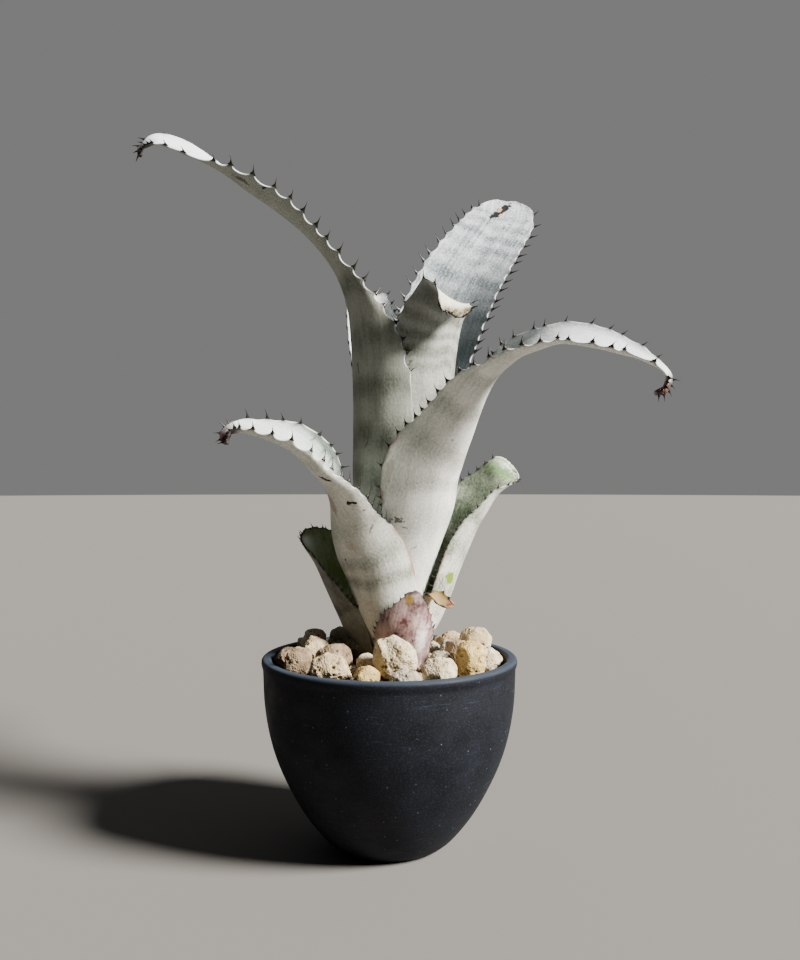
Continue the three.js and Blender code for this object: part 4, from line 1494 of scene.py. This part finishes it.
@dataclass
class TopDressing:
    """The pumice chips on the mix, each in place of its own solid, and the grit that lies between them."""

    steps: int = 28
    crispness: float = 32.0
    facets: int = 12
    roughness: float = 0.085
    swell_cell: float = 4.2
    pore_cell: float = 2.3
    pore_depth: float = 1.0
    pore_patch: float = 5.0
    grains: int = 460
    grain_sizes: tuple[float, float] = (0.9, 2.6)
    # How far from the axis the grit starts, and how far from the rim's inside it ends
    grit_from: float = 17.0
    grit_gap: float = 2.6
    # A grain's middle above the mound, its stretch along each axis and its knocks, as shares of its size
    grain_lift: float = 0.35
    grain_stretch: tuple[float, float] = (0.65, 1.3)
    grain_knock: float = 0.28
    # Which tint each chip has, in the order of their numbers, and those that the rest take in turn
    tints: tuple[StoneTint, ...] = (
        StoneTint.CREAM, StoneTint.TAN, StoneTint.YELLOW, StoneTint.GREY, StoneTint.CREAM, StoneTint.YELLOW,
        StoneTint.BROWN, StoneTint.TAN, StoneTint.CREAM, StoneTint.BROWN, StoneTint.CREAM)
    spare: tuple[StoneTint, ...] = (StoneTint.TAN, StoneTint.CREAM, StoneTint.GREY, StoneTint.BROWN)

    # The power of the mean that joins a stone's broken faces, and how far they stand as shares of its radius
    CRISP_POWER = 26
    FACET_SHARES = (0.8, 0.97)
    # How far apart the stones' noises are taken, in millimetres
    STONE_SHIFT = 31.7

    def pitted(self, places: Array, directions: Array, size: Array, seed: int) -> tuple[Array, Array]:
        """Roughens a stone: swells it by soft noise and sinks round pores at scattered points.

        A pore is 1 at a scattered point and falls smoothly to 0 at 0.42 of a cell from it. Others, 0.55 as
        large and as deep, lie between them, and both keep to patches.

        Args:
            places: the smooth surface, in millimetres.
            directions: unit directions out of the stone.
            size: the radius at each place.
            seed: the stone's own pattern.

        Returns:
            The rough surface, and how deep in a pore each place is.
        """
        shifted = places + self.STONE_SHIFT * seed
        swell = self.roughness * size * soft_noise(shifted / self.swell_cell, seed, 4)
        chosen = smoothstep(soft_noise(shifted / self.pore_patch, seed + 3, 2), -0.25, 0.25)
        sunk = np.zeros(len(places))
        for share in (1.0, 0.55):
            pore = 1 - smoothstep(cell_distance(shifted / (share * self.pore_cell), seed + 7), 0.05, 0.42)
            sunk = np.maximum(sunk, share * pore * chosen)
        return places + directions * (swell - self.pore_depth * sunk)[:, None], sunk

    def chip(self, node: bpy.types.Object, tint: StoneTint,
             materials: dict[StoneTint, Material]) -> bpy.types.Object:
        """Makes a chip whose radius is the mean of the solid's corners, weighed by nearness of direction.

        Broken faces cut it: 1 over the radius is a high-power mean of 1 over the ball's and the faces'.

        Args:
            node: the chip's solid.
            tint: the chip's colour.
            materials: the finished material for each tint.

        Returns:
            The dressed object.
        """
        number = int(node.name[-2:])
        corners = np.empty(3 * len(node.data.vertices), np.float32)
        node.data.vertices.foreach_get("co", corners)
        corners = np.unique(np.round(corners.reshape(-1, 3) / MM, 4), axis=0)
        centre = (corners.min(axis=0) + corners.max(axis=0)) / 2
        reach = np.linalg.norm(corners - centre, axis=1)
        directions, quads = ball(self.steps)
        weight = np.exp(self.crispness * (directions @ unit(corners - centre).T - 1))
        radius = (weight @ reach) / weight.sum(axis=1)
        chance = np.random.default_rng(number)
        faces = unit(chance.normal(size=(self.facets, 3)))
        middles = (directions @ faces.T).argmax(axis=0)
        depth = radius[middles] * chance.uniform(*self.FACET_SHARES, self.facets)
        cuts = np.maximum(directions @ faces.T, 0) / depth
        power = self.CRISP_POWER
        radius = ((1 / radius) ** power + (cuts ** power).sum(axis=1)) ** (-1 / power)
        places, sunk = self.pitted(centre + directions * radius[:, None], directions, radius, number)
        sheets = Sheets()
        sheets.add(places, quads, pore=sunk)
        piece = sheets.build(node.name + "_stone")
        dress(piece, materials[tint])
        settle(piece, "pumice", node.name)
        return piece

    def grit(self, mix: PottingMix, pot: Pot, material: Material) -> bpy.types.Object:
        """Scatters small grains over the mound, evenly by area, each a ball with knocks that is part sunk in
        it.

        Args:
            mix: the mound that they lie on.
            pot: the pot round it.
            material: the grains' finish.

        Returns:
            The dressed object.
        """
        chance = np.random.default_rng(44)
        outer = pot.rim_radius - pot.rim_width - self.grit_gap
        distance = np.sqrt(chance.uniform(self.grit_from ** 2, outer ** 2, self.grains))
        around = chance.uniform(0, 2 * math.pi, self.grains)
        size = chance.uniform(*self.grain_sizes, self.grains) * chance.uniform(0.6, 1.0, self.grains)
        directions, quads = ball(4)
        centre = np.stack([distance * np.cos(around), distance * np.sin(around),
                           mix.height(distance, pot) + self.grain_lift * size], -1)
        stretch = chance.uniform(*self.grain_stretch, (self.grains, 1, 3)) * size[:, None, None]
        apart = chance.uniform(0, 90, (self.grains, 1, 3))
        knock = 1 + self.grain_knock * soft_noise(directions[None] * 1.1 + apart, 3, 2)
        places = centre[:, None] + directions[None] * stretch * knock[..., None]
        start = np.arange(self.grains)[:, None, None] * len(directions)
        sheets = Sheets()
        sheets.add(places, quads + start, pore=np.zeros(places.shape[:-1]))
        piece = sheets.build("pumice_grit")
        dress(piece, material)
        settle(piece, "pumice")
        return piece

    def build(self, mix: PottingMix, pot: Pot, nodes: dict[str, bpy.types.Object]) -> None:
        """Makes every chip and the grit.

        Args:
            mix: the mound that they lie on.
            pot: the pot round it.
            nodes: the frame's solids by name.
        """
        materials = {tint: Pumice(tint).build() for tint in StoneTint}
        for index, name in enumerate(sorted(name for name in nodes if name.startswith("pumice_"))):
            given = index < len(self.tints)
            tint = self.tints[index] if given else self.spare[index % len(self.spare)]
            self.chip(nodes[name], tint, materials)
        self.grit(mix, pot, materials[StoneTint.TAN])


@dataclass
class Studio:
    """A plain floor, a soft sky, one broad window light and a level camera from the photograph's side."""

    camera_place: tuple[float, float, float] = (4.35, -373.0, 149.4)
    focal_pixels: float = 900.0
    sensor: float = 36.0
    floor_radius: float = 9000.0
    floor_depth: float = 20.0
    # How far the floor lies under the pot's foot, so that the two faces don't share a plane
    floor_gap: float = 0.05
    floor_colour: str = "#676562"
    back_colour: str = "#e0e0df"
    front_colour: str = "#303031"
    sky_strength: float = 0.27
    # The way that the pale side of the sky lies, and how far along it the sky turns pale
    sky_towards: tuple[float, float, float] = (0.4, 0.9, 0.1)
    sky_turn: tuple[float, float] = (-0.5, 0.45)
    window_place: tuple[float, float, float] = (830.0, -330.0, 760.0)
    window_aim: tuple[float, float, float] = (0.0, 0.0, 150.0)
    window_strength: float = 19.0
    window_width: float = 16.0
    window_colour: str = "#fffaf2"

    def lay_floor(self) -> None:
        """Lays a plain matte disc under the pot."""
        low, high = -self.floor_depth, -self.floor_gap
        profile = np.array([[0, low], [self.floor_radius, low], [self.floor_radius, high], [0, high]])
        sheets = Sheets()
        sheets.add(*lathe(profile, 96))
        floor = sheets.build("studio_floor", 35)
        material, _ = new_material("matte_floor", {"Base Color": linear(self.floor_colour), "Roughness": 0.9})
        dress(floor, material)

    def hang_window(self) -> None:
        """Hangs the window: a far, broad light that shines from its place towards its aim."""
        data = bpy.data.lights.new("window", "SUN")
        data.energy = self.window_strength
        data.angle = math.radians(self.window_width)
        data.color = linear(self.window_colour)[:3]
        light = bpy.data.objects.new("window", data)
        bpy.context.scene.collection.objects.link(light)
        place, aim = Vector(self.window_place), Vector(self.window_aim)
        light.location = place * MM
        light.rotation_euler = (aim - place).to_track_quat("-Z", "Y").to_euler()

    def spread_sky(self) -> None:
        """Makes the sky: pale behind the plant and to its right, and dim in front on the left."""
        world = bpy.data.worlds.new("soft_sky")
        world.use_nodes = True
        tree = world.node_tree
        sky = tree.nodes["Background"]
        sky.inputs["Strength"].default_value = self.sky_strength
        direction = add_node(tree, "ShaderNodeTexCoord").outputs["Generated"]
        facing = add_node(tree, "ShaderNodeVectorMath", {0: direction, 1: self.sky_towards},
                          operation="DOT_PRODUCT").outputs["Value"]
        low, high = self.sky_turn
        share = add_node(tree, "ShaderNodeMapRange", {0: facing, 1: low, 2: high}).outputs[0]
        tree.links.new(overlay(tree, self.front_colour, [(share, self.back_colour)]), sky.inputs["Color"])
        bpy.context.scene.world = world

    def place_camera(self) -> None:
        """Places the level camera that looks along +Y, with the focal length from its pixels."""
        data = bpy.data.cameras.new("camera")
        data.sensor_width = self.sensor
        data.sensor_fit = "AUTO"
        data.lens = self.focal_pixels / max(IMAGE_WIDTH, IMAGE_HEIGHT) * self.sensor
        data.clip_start = 0.01
        data.clip_end = 50.0
        camera = bpy.data.objects.new("camera", data)
        bpy.context.scene.collection.objects.link(camera)
        camera.location = Vector(self.camera_place) * MM
        camera.rotation_euler = (math.pi / 2, 0, 0)
        bpy.context.scene.camera = camera

    def build(self) -> None:
        """Sets up the floor, the sky, the light and the camera."""
        self.lay_floor()
        self.spread_sky()
        self.hang_window()
        self.place_camera()


# The small thorns of both stubs
PRICKLES = Thorns(height=1.7, foot=0.6, thickness=0.22)


def heart_leaf() -> Leaf:
    """The innermost leaf, rolled, with its tip folded outward."""
    return Leaf(
        "leaf_heart", layer=0, azimuth=-65, wrap=72, sheath_top=150, seed=11,
        blade=((14.4, -16.2, 170, 39, 64, 115, 0), (15.6, -16.4, 188, 37, 56, 115, 0),
               (17, -16.5, 203, 34, 49, 113, 4), (18.6, -17.5, 213, 30, 40, 108, 20),
               (20.8, -19.5, 219.5, 24, 28, 78, 50), (23.8, -23.8, 219.6, 20, 16, -10, 66),
               (25.4, -26.8, 215, 16, 10, -58, 20), (25.9, -27.6, 212, 12, 10, -60, 4)),
        first_thorn=76, pitch=(4.8, 4.8), tip=5, dried=6, crumple=1.5, tip_thorns=6, lip=(0.8, 0.8),
        finish=ScurfyLeaf("heart_leaf", scurf="#bfc1b9", tissue="#62675c", tint="#34342b", band_depth=0.5,
                          inner_scurf="#dedac6", dried="#8c8262", dried_dark="#2a2117"),
        bands=(Band(88, 5, 0.6), Band(112, 4, 0.4), Band(122, 13, 0.5), Band(127, 2, 0.5),
               Band(133, 2.2, 0.9),
               Band(139, 1.6, 0.8), Band(145, 2, 0.9), Band(152, 2.5, 0.8)),
        # Both tint patches are painted shade: the dark tint #34342b lies on the outer face below the folded
        # tip, where the fold shades it
        patches=(Patch(154, 6, 4, 9, 0.6, False), Patch(138, 9, 14, 9, 0.4, False)),
        marks=(Mark(132.8, 9.8, 2.4, 0.8, "#55523a", 10, 1.4, 0.8),
               Mark(127.2, 8.0, 1.8, 0.8, "#4a4836", -20, 1.5, 0.8),
               Mark(138.5, 10.6, 1.2, 0.5, "#55523a", 30, 1.2, 0.7)))


def back_leaf() -> Leaf:
    """The broad upright leaf behind the heart, which shows its inner face and a dark scar."""
    return Leaf(
        "leaf_back", layer=1, azimuth=82, wrap=60, sheath_top=150, seed=12,
        blade=((11.5, 17.6, 172, 37, 48, -94, 0), (16, 19.5, 195, 38, 36, -97, 4),
               (23, 23.8, 218, 40, 27, -100, 8), (31.2, 29, 237, 38.5, 20, -98, 14),
               (39.6, 34.5, 251.5, 35.8, 14, -93, 22), (47.2, 41, 262.8, 33.4, 9, -87, 34),
               (53, 47, 272.6, 31.6, 5, -84, 38), (54.6, 53.6, 281.6, 31, 3, -86, 38)),
        first_thorn=100, pitch=(5.6, 6), tip=19, groove=0.12, lip=(0.3, 0.4), dried=1.2,
        finish=ScurfyLeaf("back_leaf", inner_tissue="#5b666c", inner_scurf="#d3d9df", tint="#2c3536",
                          inner_cover=0.58, blotch=0.3, grain=0.5, streak=0.35, band_depth=0.45,
                          dried="#a9aeb0", dried_dark="#6b7174"),
        bands=(Band(100, 5), Band(122, 6), Band(142, 6, 0.8), Band(157, 4, 0.8), Band(168, 3, 0.5),
               Band(177, 3.5, 0.8), Band(187, 2.5, 0.5), Band(195, 3, 0.7), Band(203, 2.5, 0.9),
               Band(211, 2, 0.6), Band(218, 1.4, 0.5)),
        # Both tint patches are painted shade: the dark tint #2c3536 darkens the inner face low down and on
        # its right side, where it lies in shade
        patches=(Patch(134, 8, 34, 19, 0.85), Patch(168, 14, 24, 8, 0.5)),
        marks=(Mark(221.8, -2.0, 9.0, 2.1, "#060403", 33, 0.7),
               Mark(221.8, -2.8, 2.0, 1.0, "#b98c68", 30, 0.4),
               Mark(214.4, 4.3, 0.4, 1.4, "#4a4e50", 10, 0.5, 0.8),
               Mark(211.2, 2.9, 1.4, 0.4, "#4a4e50", 0, 0.5, 0.8),
               Mark(211.2, 12.1, 0.6, 0.6, "#3c4143", 0, 0.6, 0.9),
               Mark(219.0, 11.0, 0.5, 1.2, "#5b6062", 40, 0.6, 0.8)))


def tall_left_leaf() -> Leaf:
    """The tall leaf that arches to the left, with its outer face to the camera."""
    return Leaf(
        "leaf_tall_left", layer=2, azimuth=196, wrap=80, sheath_top=150, seed=13,
        blade=((-13.6, -6.6, 170, 58, 84, 18, 0), (-13.8, -6.4, 190, 56, 82, 18, 0),
               (-14.6, -5.5, 206, 49, 75, 16, 6), (-17, -4, 222, 33, 60, 10, 22),
               (-23, -4.6, 236, 22, 46, 4, 32), (-32.5, -7, 248, 18.5, 38, 4, 45),
               (-43, -11, 256.8, 20, 36, 11, 56), (-54.5, -16, 263.8, 21, 33, 8, 60),
               (-66, -21, 270.7, 18, 26, -17, 58), (-78, -27, 275.8, 15, 17, -46, 47),
               (-87, -31, 277.8, 11, 17, -71, 48), (-92.5, -33, 275, 6, 24, -116, 52),
               (-93.6, -33.8, 271.5, 4, 24, -150, 30)),
        first_thorn=122, pitch=(5.4, 9.6), tip=4, dried=9, tip_thorns=5, scallop=(0.17, 0.02),
        thorn_share=(1.0, 0.3), lip=(0.9, 0.3), lip_from=140,
        finish=ScurfyLeaf("tall_leaf", tissue="#4d5147", scurf="#a5a89e", cover=0.62, grain=0.18),
        bands=(Band(82, 6), Band(99, 6), Band(118, 5), Band(137, 5, 0.8), Band(158, 5)),
        marks=(Mark(210.4, -8.8, 0.9, 1.6, "#201e19", 0, 1.0),
               Mark(219.2, -5.5, 3.4, 1.4, "#2b2923", 0, 1.6, 0.7),
               Mark(125.6, -4.6, 2.4, 0.6, "#2b2c26", 10, 1.4, 0.7),
               Mark(95.2, -9.8, 2.0, 0.5, "#2b2c26", -30, 1.4, 0.6),
               Mark(150.0, -18.0, 0.5, 0.5, "#1d1c18", 0, 0.6, 0.9)))


def front_right_leaf() -> Leaf:
    """The leaf in front that arches to the right, with a long withered tip that points down."""
    return Leaf(
        "leaf_front_right", layer=3, azimuth=-50, wrap=65, sheath_top=138, seed=14,
        blade=((20.8, -18.3, 152, 50, 65, 130, 10), (28.5, -21.5, 167, 41, 68, 134, 25),
               (36, -26, 181.5, 36, 70, 152, 33), (41, -29, 188.8, 31, 68, 169, 42),
               (45, -32.5, 192.7, 28, 62, -173, 48), (50.5, -36, 196.8, 25, 48, -161, 54),
               (56.5, -39.5, 199, 23, 36, -143, 58), (65, -43, 201.3, 21.5, 24, -114, 62),
               (76, -48.8, 198.7, 20.5, 20, -84, 61), (85.3, -52.4, 194.9, 16, 20, -70, 61),
               (91, -56.6, 191.8, 10, 20, -59, 56), (96, -58, 188.5, 6, 24, -49, 49),
               (98, -58.4, 185, 5, 24, -40, 25), (96.8, -58.3, 181.8, 5, 24, -30, -5),
               (93.8, -58, 179.6, 4, 24, -30, -50)),
        first_thorn=70, pitch=(3.6, 8.0), tip=3, blush=(70, 92), dried=10, tip_thorns=5, scallop=(0.05,
        0.14),
        thorn_share=(0.75, 0.85), lip=(1.2, 1.6), lip_from=130,
        finish=ScurfyLeaf("front_right_leaf", scurf="#e6e6df", cover=0.82, dried="#7a4636",
                          dried_dark="#2e1713"),
        bands=(Band(63, 4, 0.4), Band(78, 3.5, 0.8), Band(92, 5, 0.8), Band(111, 4, 0.8),
               Band(126, 4, 0.6)),
        marks=(Mark(65.6, 15.3, 1.4, 2.6, "#34352f", 20, 1.7, 0.85),
               Mark(62.5, 12.5, 0.4, 1.3, "#3c3d36", 0, 1.0, 0.7),
               Mark(98.4, 3.5, 0.4, 0.4, "#232320", 0, 0.5),
               Mark(82.4, 21.6, 6.5, 1.8, "#97786c", 0, 0.6, 0.4),
               Mark(54.0, 6.0, 0.5, 1.6, "#6a6c62", 30, 1.2, 0.6)))


def back_left_leaf() -> Leaf:
    """The leaf behind on the left, which the others mostly hide."""
    return Leaf(
        "leaf_back_left", layer=3, azimuth=118, wrap=42, sheath_top=150, seed=15,
        blade=((-4.8, 22, 172, 29, 38, -62, 0), (-7, 25, 195, 27, 30, -62, 2),
               (-9.2, 28.5, 212, 26.5, 26, -62, 8),
               (-10.4, 32, 226, 25, 24, -62, 18), (-11, 37, 233, 21, 18, -62, 50),
               (-11.5, 44, 234, 17, 12, 110, 75),
               (-12.5, 50, 230, 12, 10, 112, 50)),
        first_thorn=120, pitch=(5, 6), tip=7, thorns=Thorns(height=2.6, foot=0.8), lip=(1.0, 1.0),
        finish=ScurfyLeaf("back_left_leaf", inner_cover=0.9),
        bands=(Band(100, 6), Band(125, 5), Band(148, 5)))


def front_left_leaf() -> Leaf:
    """The lower leaf in front that arches to the left, stained and strongly thorned."""
    return Leaf(
        "leaf_front_left", layer=4, azimuth=-112, wrap=72, sheath_top=76, seed=16,
        blade=((-1.5, -12, 86, 29, 70, 68, 0), (-3.5, -14.5, 95, 34, 70, 68, 0),
               (-6, -16.5, 106, 37, 66, 68, 0),
               (-9.5, -19, 117, 36, 60, 66, 0), (-17, -22.5, 130, 31, 62, 54, 8),
               (-21.6, -26, 141, 30, 78, 27, 26),
               (-25, -29.3, 147.8, 30, 84, -3, 33), (-29.2, -33.6, 154, 29, 80, -22, 34),
               (-34.3, -39.3, 160, 26, 62, -26, 42), (-39.5, -43.5, 163.4, 22, 40, -26, 53),
               (-45, -46.5, 165.5, 19, 26, -36, 61), (-51.5, -49.5, 167, 14, 20, -62, 68),
               (-56.5, -52, 166, 8, 24, -130, 56), (-57.5, -53, 162, 4, 30, -158, 20)),
        first_thorn=56, pitch=(3.2, 7.5), tip=3, blush=(34, 58), blush_margin=Margin.LEFT, dried=9,
        tip_thorns=5,
        lip=(2.0, 1.4), lip_from=84, thorns=Thorns(height=4.6, foot=0.9, thickness=0.26, lean=0.4),
        scallop=(0.15, 0.05),
        finish=ScurfyLeaf("front_left_leaf", scurf="#dfdfd5", inner_scurf="#c3cbc8", tint="#9fb592",
                          dried="#4b3038", dried_dark="#170e10"),
        bands=(Band(40, 3), Band(48.5, 3.4), Band(63, 3.5, 0.5)),
        patches=(Patch(96, -3, 13, 8, 0.55), Patch(78, 6, 14, 7, 0.25, False)),
        marks=(Mark(92.0, -10.2, 2.4, 1.1, "#1b1812", 20, 1.6),
               Mark(76.0, -9.0, 1.1, 2.1, "#1a1711", -25, 1.8),
               Mark(78.0, 1.0, 7.0, 3.4, "#86694f", 0, 0.5, 0.6),
               Mark(60.8, -9.7, 0.5, 2.2, "#4d5047", 35, 1.1, 0.75),
               Mark(52.8, 8.2, 0.6, 0.6, "#2a2720", 0, 0.8, 0.8),
               Mark(57.0, 1.6, 4.0, 2.6, "#a0714f", 0, 0.9, 0.45, 0.9),
               Mark(31.0, 3.3, 4.5, 3.4, "#a0714f", 10, 0.9, 0.4, 0.9),
               Mark(71.0, -11.5, 0.4, 0.9, "#2a2720", 0, 1.0, 0.8)))


def right_leaf() -> Leaf:
    """The lower leaf on the right, green where its scurf is thin."""
    return Leaf(
        "leaf_right", layer=4, azimuth=22, wrap=54, sheath_top=76, seed=17,
        blade=((16.5, 4, 84, 23, 52, -170, 20), (20.9, 4.8, 91, 29, 62, 180, 26),
               (24.8, 6.2, 100, 34.5, 73, -176, 22),
               (27.9, 7.8, 109, 37, 81, -170, 21), (31.9, 9.3, 119, 38.5, 85, -166, 22),
               (36, 10.5, 130, 38, 83, -157, 23), (39.4, 10.8, 137.1, 33.5, 73, -150, 29),
               (42.5, 11.7, 143.4, 31, 63, -141, 37), (45.9, 13.1, 149.2, 21, 36, -117, 34),
               (48.5, 14.1, 152.6, 16, 30, -87, 24), (52.3, 15.8, 156, 13.5, 28, -75, 20)),
        first_thorn=30, pitch=(3.4, 2.8), tip=4, thorns=Thorns(height=2.9, foot=0.7, thickness=0.24),
        dried=4.5, blush=(32, 54), scallop=(0.06, 0.06), lip=(0.3, 0.5), lip_from=40,
        finish=ScurfyLeaf("right_leaf", inner_tissue="#4a5a42", inner_scurf="#aeb9a7", inner_cover=0.5,
                          blotch=0.5, grain=0.55, tint="#5c8a3a", dried="#d6d8cc", dried_dark="#8f9c84"),
        bands=(Band(36, 4, 0.8), Band(52, 4, 0.8), Band(68, 4, 0.6)),
        patches=(Patch(91.5, 0, 2, 7, 0.8),),
        marks=(Mark(40.2, 11.3, 3.2, 2.6, "#6d8424", 25, 0.6),
               Mark(87.5, -3.5, 3.4, 4.5, "#39442f", 0, 0.5, 0.7, 0.9),
               Mark(90.0, 7.5, 1.0, 2.0, "#8d6a4c", 0, 1.0, 0.8)))


def left_leaf() -> Leaf:
    """The small lower leaf on the left, yellow-green inside, whose thorns lean to the lower face."""
    return Leaf(
        "leaf_left", layer=5, azimuth=172, wrap=46, sheath_top=76, seed=18,
        blade=((-17, 3, 85, 31, 54, 12, 20), (-21.2, 5.5, 92.7, 36, 59, 1, 21),
               (-25.6, 7, 103.8, 36, 55, -11, 22.5),
               (-28.8, 8, 114, 32, 44, -22, 26), (-31.7, 9.4, 121.5, 26, 31, -34, 34),
               (-35.6, 10.5, 128.6, 19, 22, -38, 36)),
        first_thorn=24, pitch=(3.2, 2.2), tip=5, thorns=Thorns(height=3.9, foot=0.9, thickness=0.3,
        lean=-0.25),
        dried=4.4, tip_thorns=4, scallop=(0.08, 0.04), lip=(0.4, 0.0), lip_from=30,
        finish=ScurfyLeaf("left_leaf", inner_tissue="#566a2c", inner_scurf="#96a184", inner_cover=0.35,
                          scurf="#8b8c82", tissue="#3f3d33", cover=0.6, blotch=0.6, tint="#ccd6cf",
                          dried="#86916b", dried_dark="#55623a"),
        bands=(Band(30, 4, 0.7), Band(45, 4, 0.7)),
        patches=(Patch(63, -6, 5, 5, 0.95),))


def right_stub() -> Leaf:
    """The short dry leaf base on the right, which ends in a curl."""
    return Leaf(
        "stub_right", layer=5, azimuth=-35, wrap=24, sheath_top=76, seed=19,
        blade=((14.2, -9.6, 84, 9, 26, 130, 0), (14.6, -11, 92, 8.5, 28, 130, 4),
               (15, -12.6, 98.5, 8, 26, 130, 16),
               (15.7, -13.6, 102.2, 7.2, 24, 125, 50), (17.2, -14.8, 103.8, 6.6, 24, -70, 68),
               (20.6, -16, 101.9, 6.8, 28, -78, 30), (22.8, -16.6, 100.7, 5, 28, -78, 24),
               (25, -17, 99.7, 2.2, 24, -75, 20)),
        first_thorn=26, pitch=(4, 4), tip=3, thorns=PRICKLES, lip=(0.8, 0.8), lip_from=20, blush=(22, 40),
        finish=ScurfyLeaf("dry_stub", scurf="#c9bda4", tissue="#8a7a58", inner_tissue="#5e4c26",
                          inner_scurf="#8f784a", dried="#7d4330", dried_dark="#2c1510"))


def front_stub() -> Leaf:
    """The pink leaf base in front, bare of scurf in purple blotches."""
    return Leaf(
        "stub_front", layer=6, azimuth=-78, wrap=58, sheath_top=76, seed=20, slot="sheath",
        blade=((6.6, -17.4, 85, 27, 50, 99, 0), (7.2, -20.1, 91, 25, 46, 99, 0),
               (8.6, -20.9, 96.4, 19.4, 40, 98, 0),
               (9.3, -21, 100.2, 13.6, 32, 98, 0), (9.8, -20.9, 103.2, 8.2, 26, 98, 0),
               (10.2, -20.8, 106, 4, 22, 98, 0)),
        first_thorn=9, pitch=(2.4, 2.4), tip=1.2, thorns=PRICKLES, blush=(8, 40), blush_margin=Margin.LEFT,
        finish=ScurfyLeaf("bare_pink_sheath", tissue="#5c3643", scurf="#b79f9a", cover=0.62, blotch=0.8,
                          streak=0.5, blush="#4b1f25"),
        marks=(Mark(32.8, -1.6, 5.6, 6.0, "#3f2328", 0, 0.7, 0.95, 0.75),
               Mark(34.8, 1.6, 3.2, 2.6, "#7a651a", 0, 0.7, 0.95, 0.6),
               Mark(25.2, 1.5, 3.2, 3.4, "#4a2420", 0, 1.0, 0.95, 0.7),
               Mark(24.5, -4.5, 1.8, 2.2, "#8a4c5a", 0, 0.9, 0.7, 0.8),
               # The near-white mark on the right of the sheath is a painted sheen
               Mark(18.0, -6.5, 9.0, 3.4, "#f4eeed", 0, 0.6, 0.95, 0.7),
               Mark(21.0, 4.2, 0.4, 0.9, "#3c2530", 0, 0.8), Mark(20.0, 1.8, 0.4, 0.7, "#3c2530", 20, 0.8),
               Mark(17.5, -2.5, 0.8, 0.4, "#4a2d38", 0, 0.8)))


def main() -> None:
    """Builds the pot, the mix, the top dressing, the plant and the studio."""
    logging.basicConfig(level=logging.INFO, format="%(message)s")
    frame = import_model()
    pot, mix = Pot(), PottingMix()
    pot.build()
    mix.build(pot)
    TopDressing().build(mix, pot, frame["nodes"])
    dress(frame["nodes"]["stem"], DryStem().build())
    for leaf in (heart_leaf, back_leaf, tall_left_leaf, front_right_leaf, back_left_leaf, front_left_leaf,
                 right_leaf, left_leaf, right_stub, front_stub):
        leaf().build()
    Studio().build()


if __name__ == "__main__":
    main()
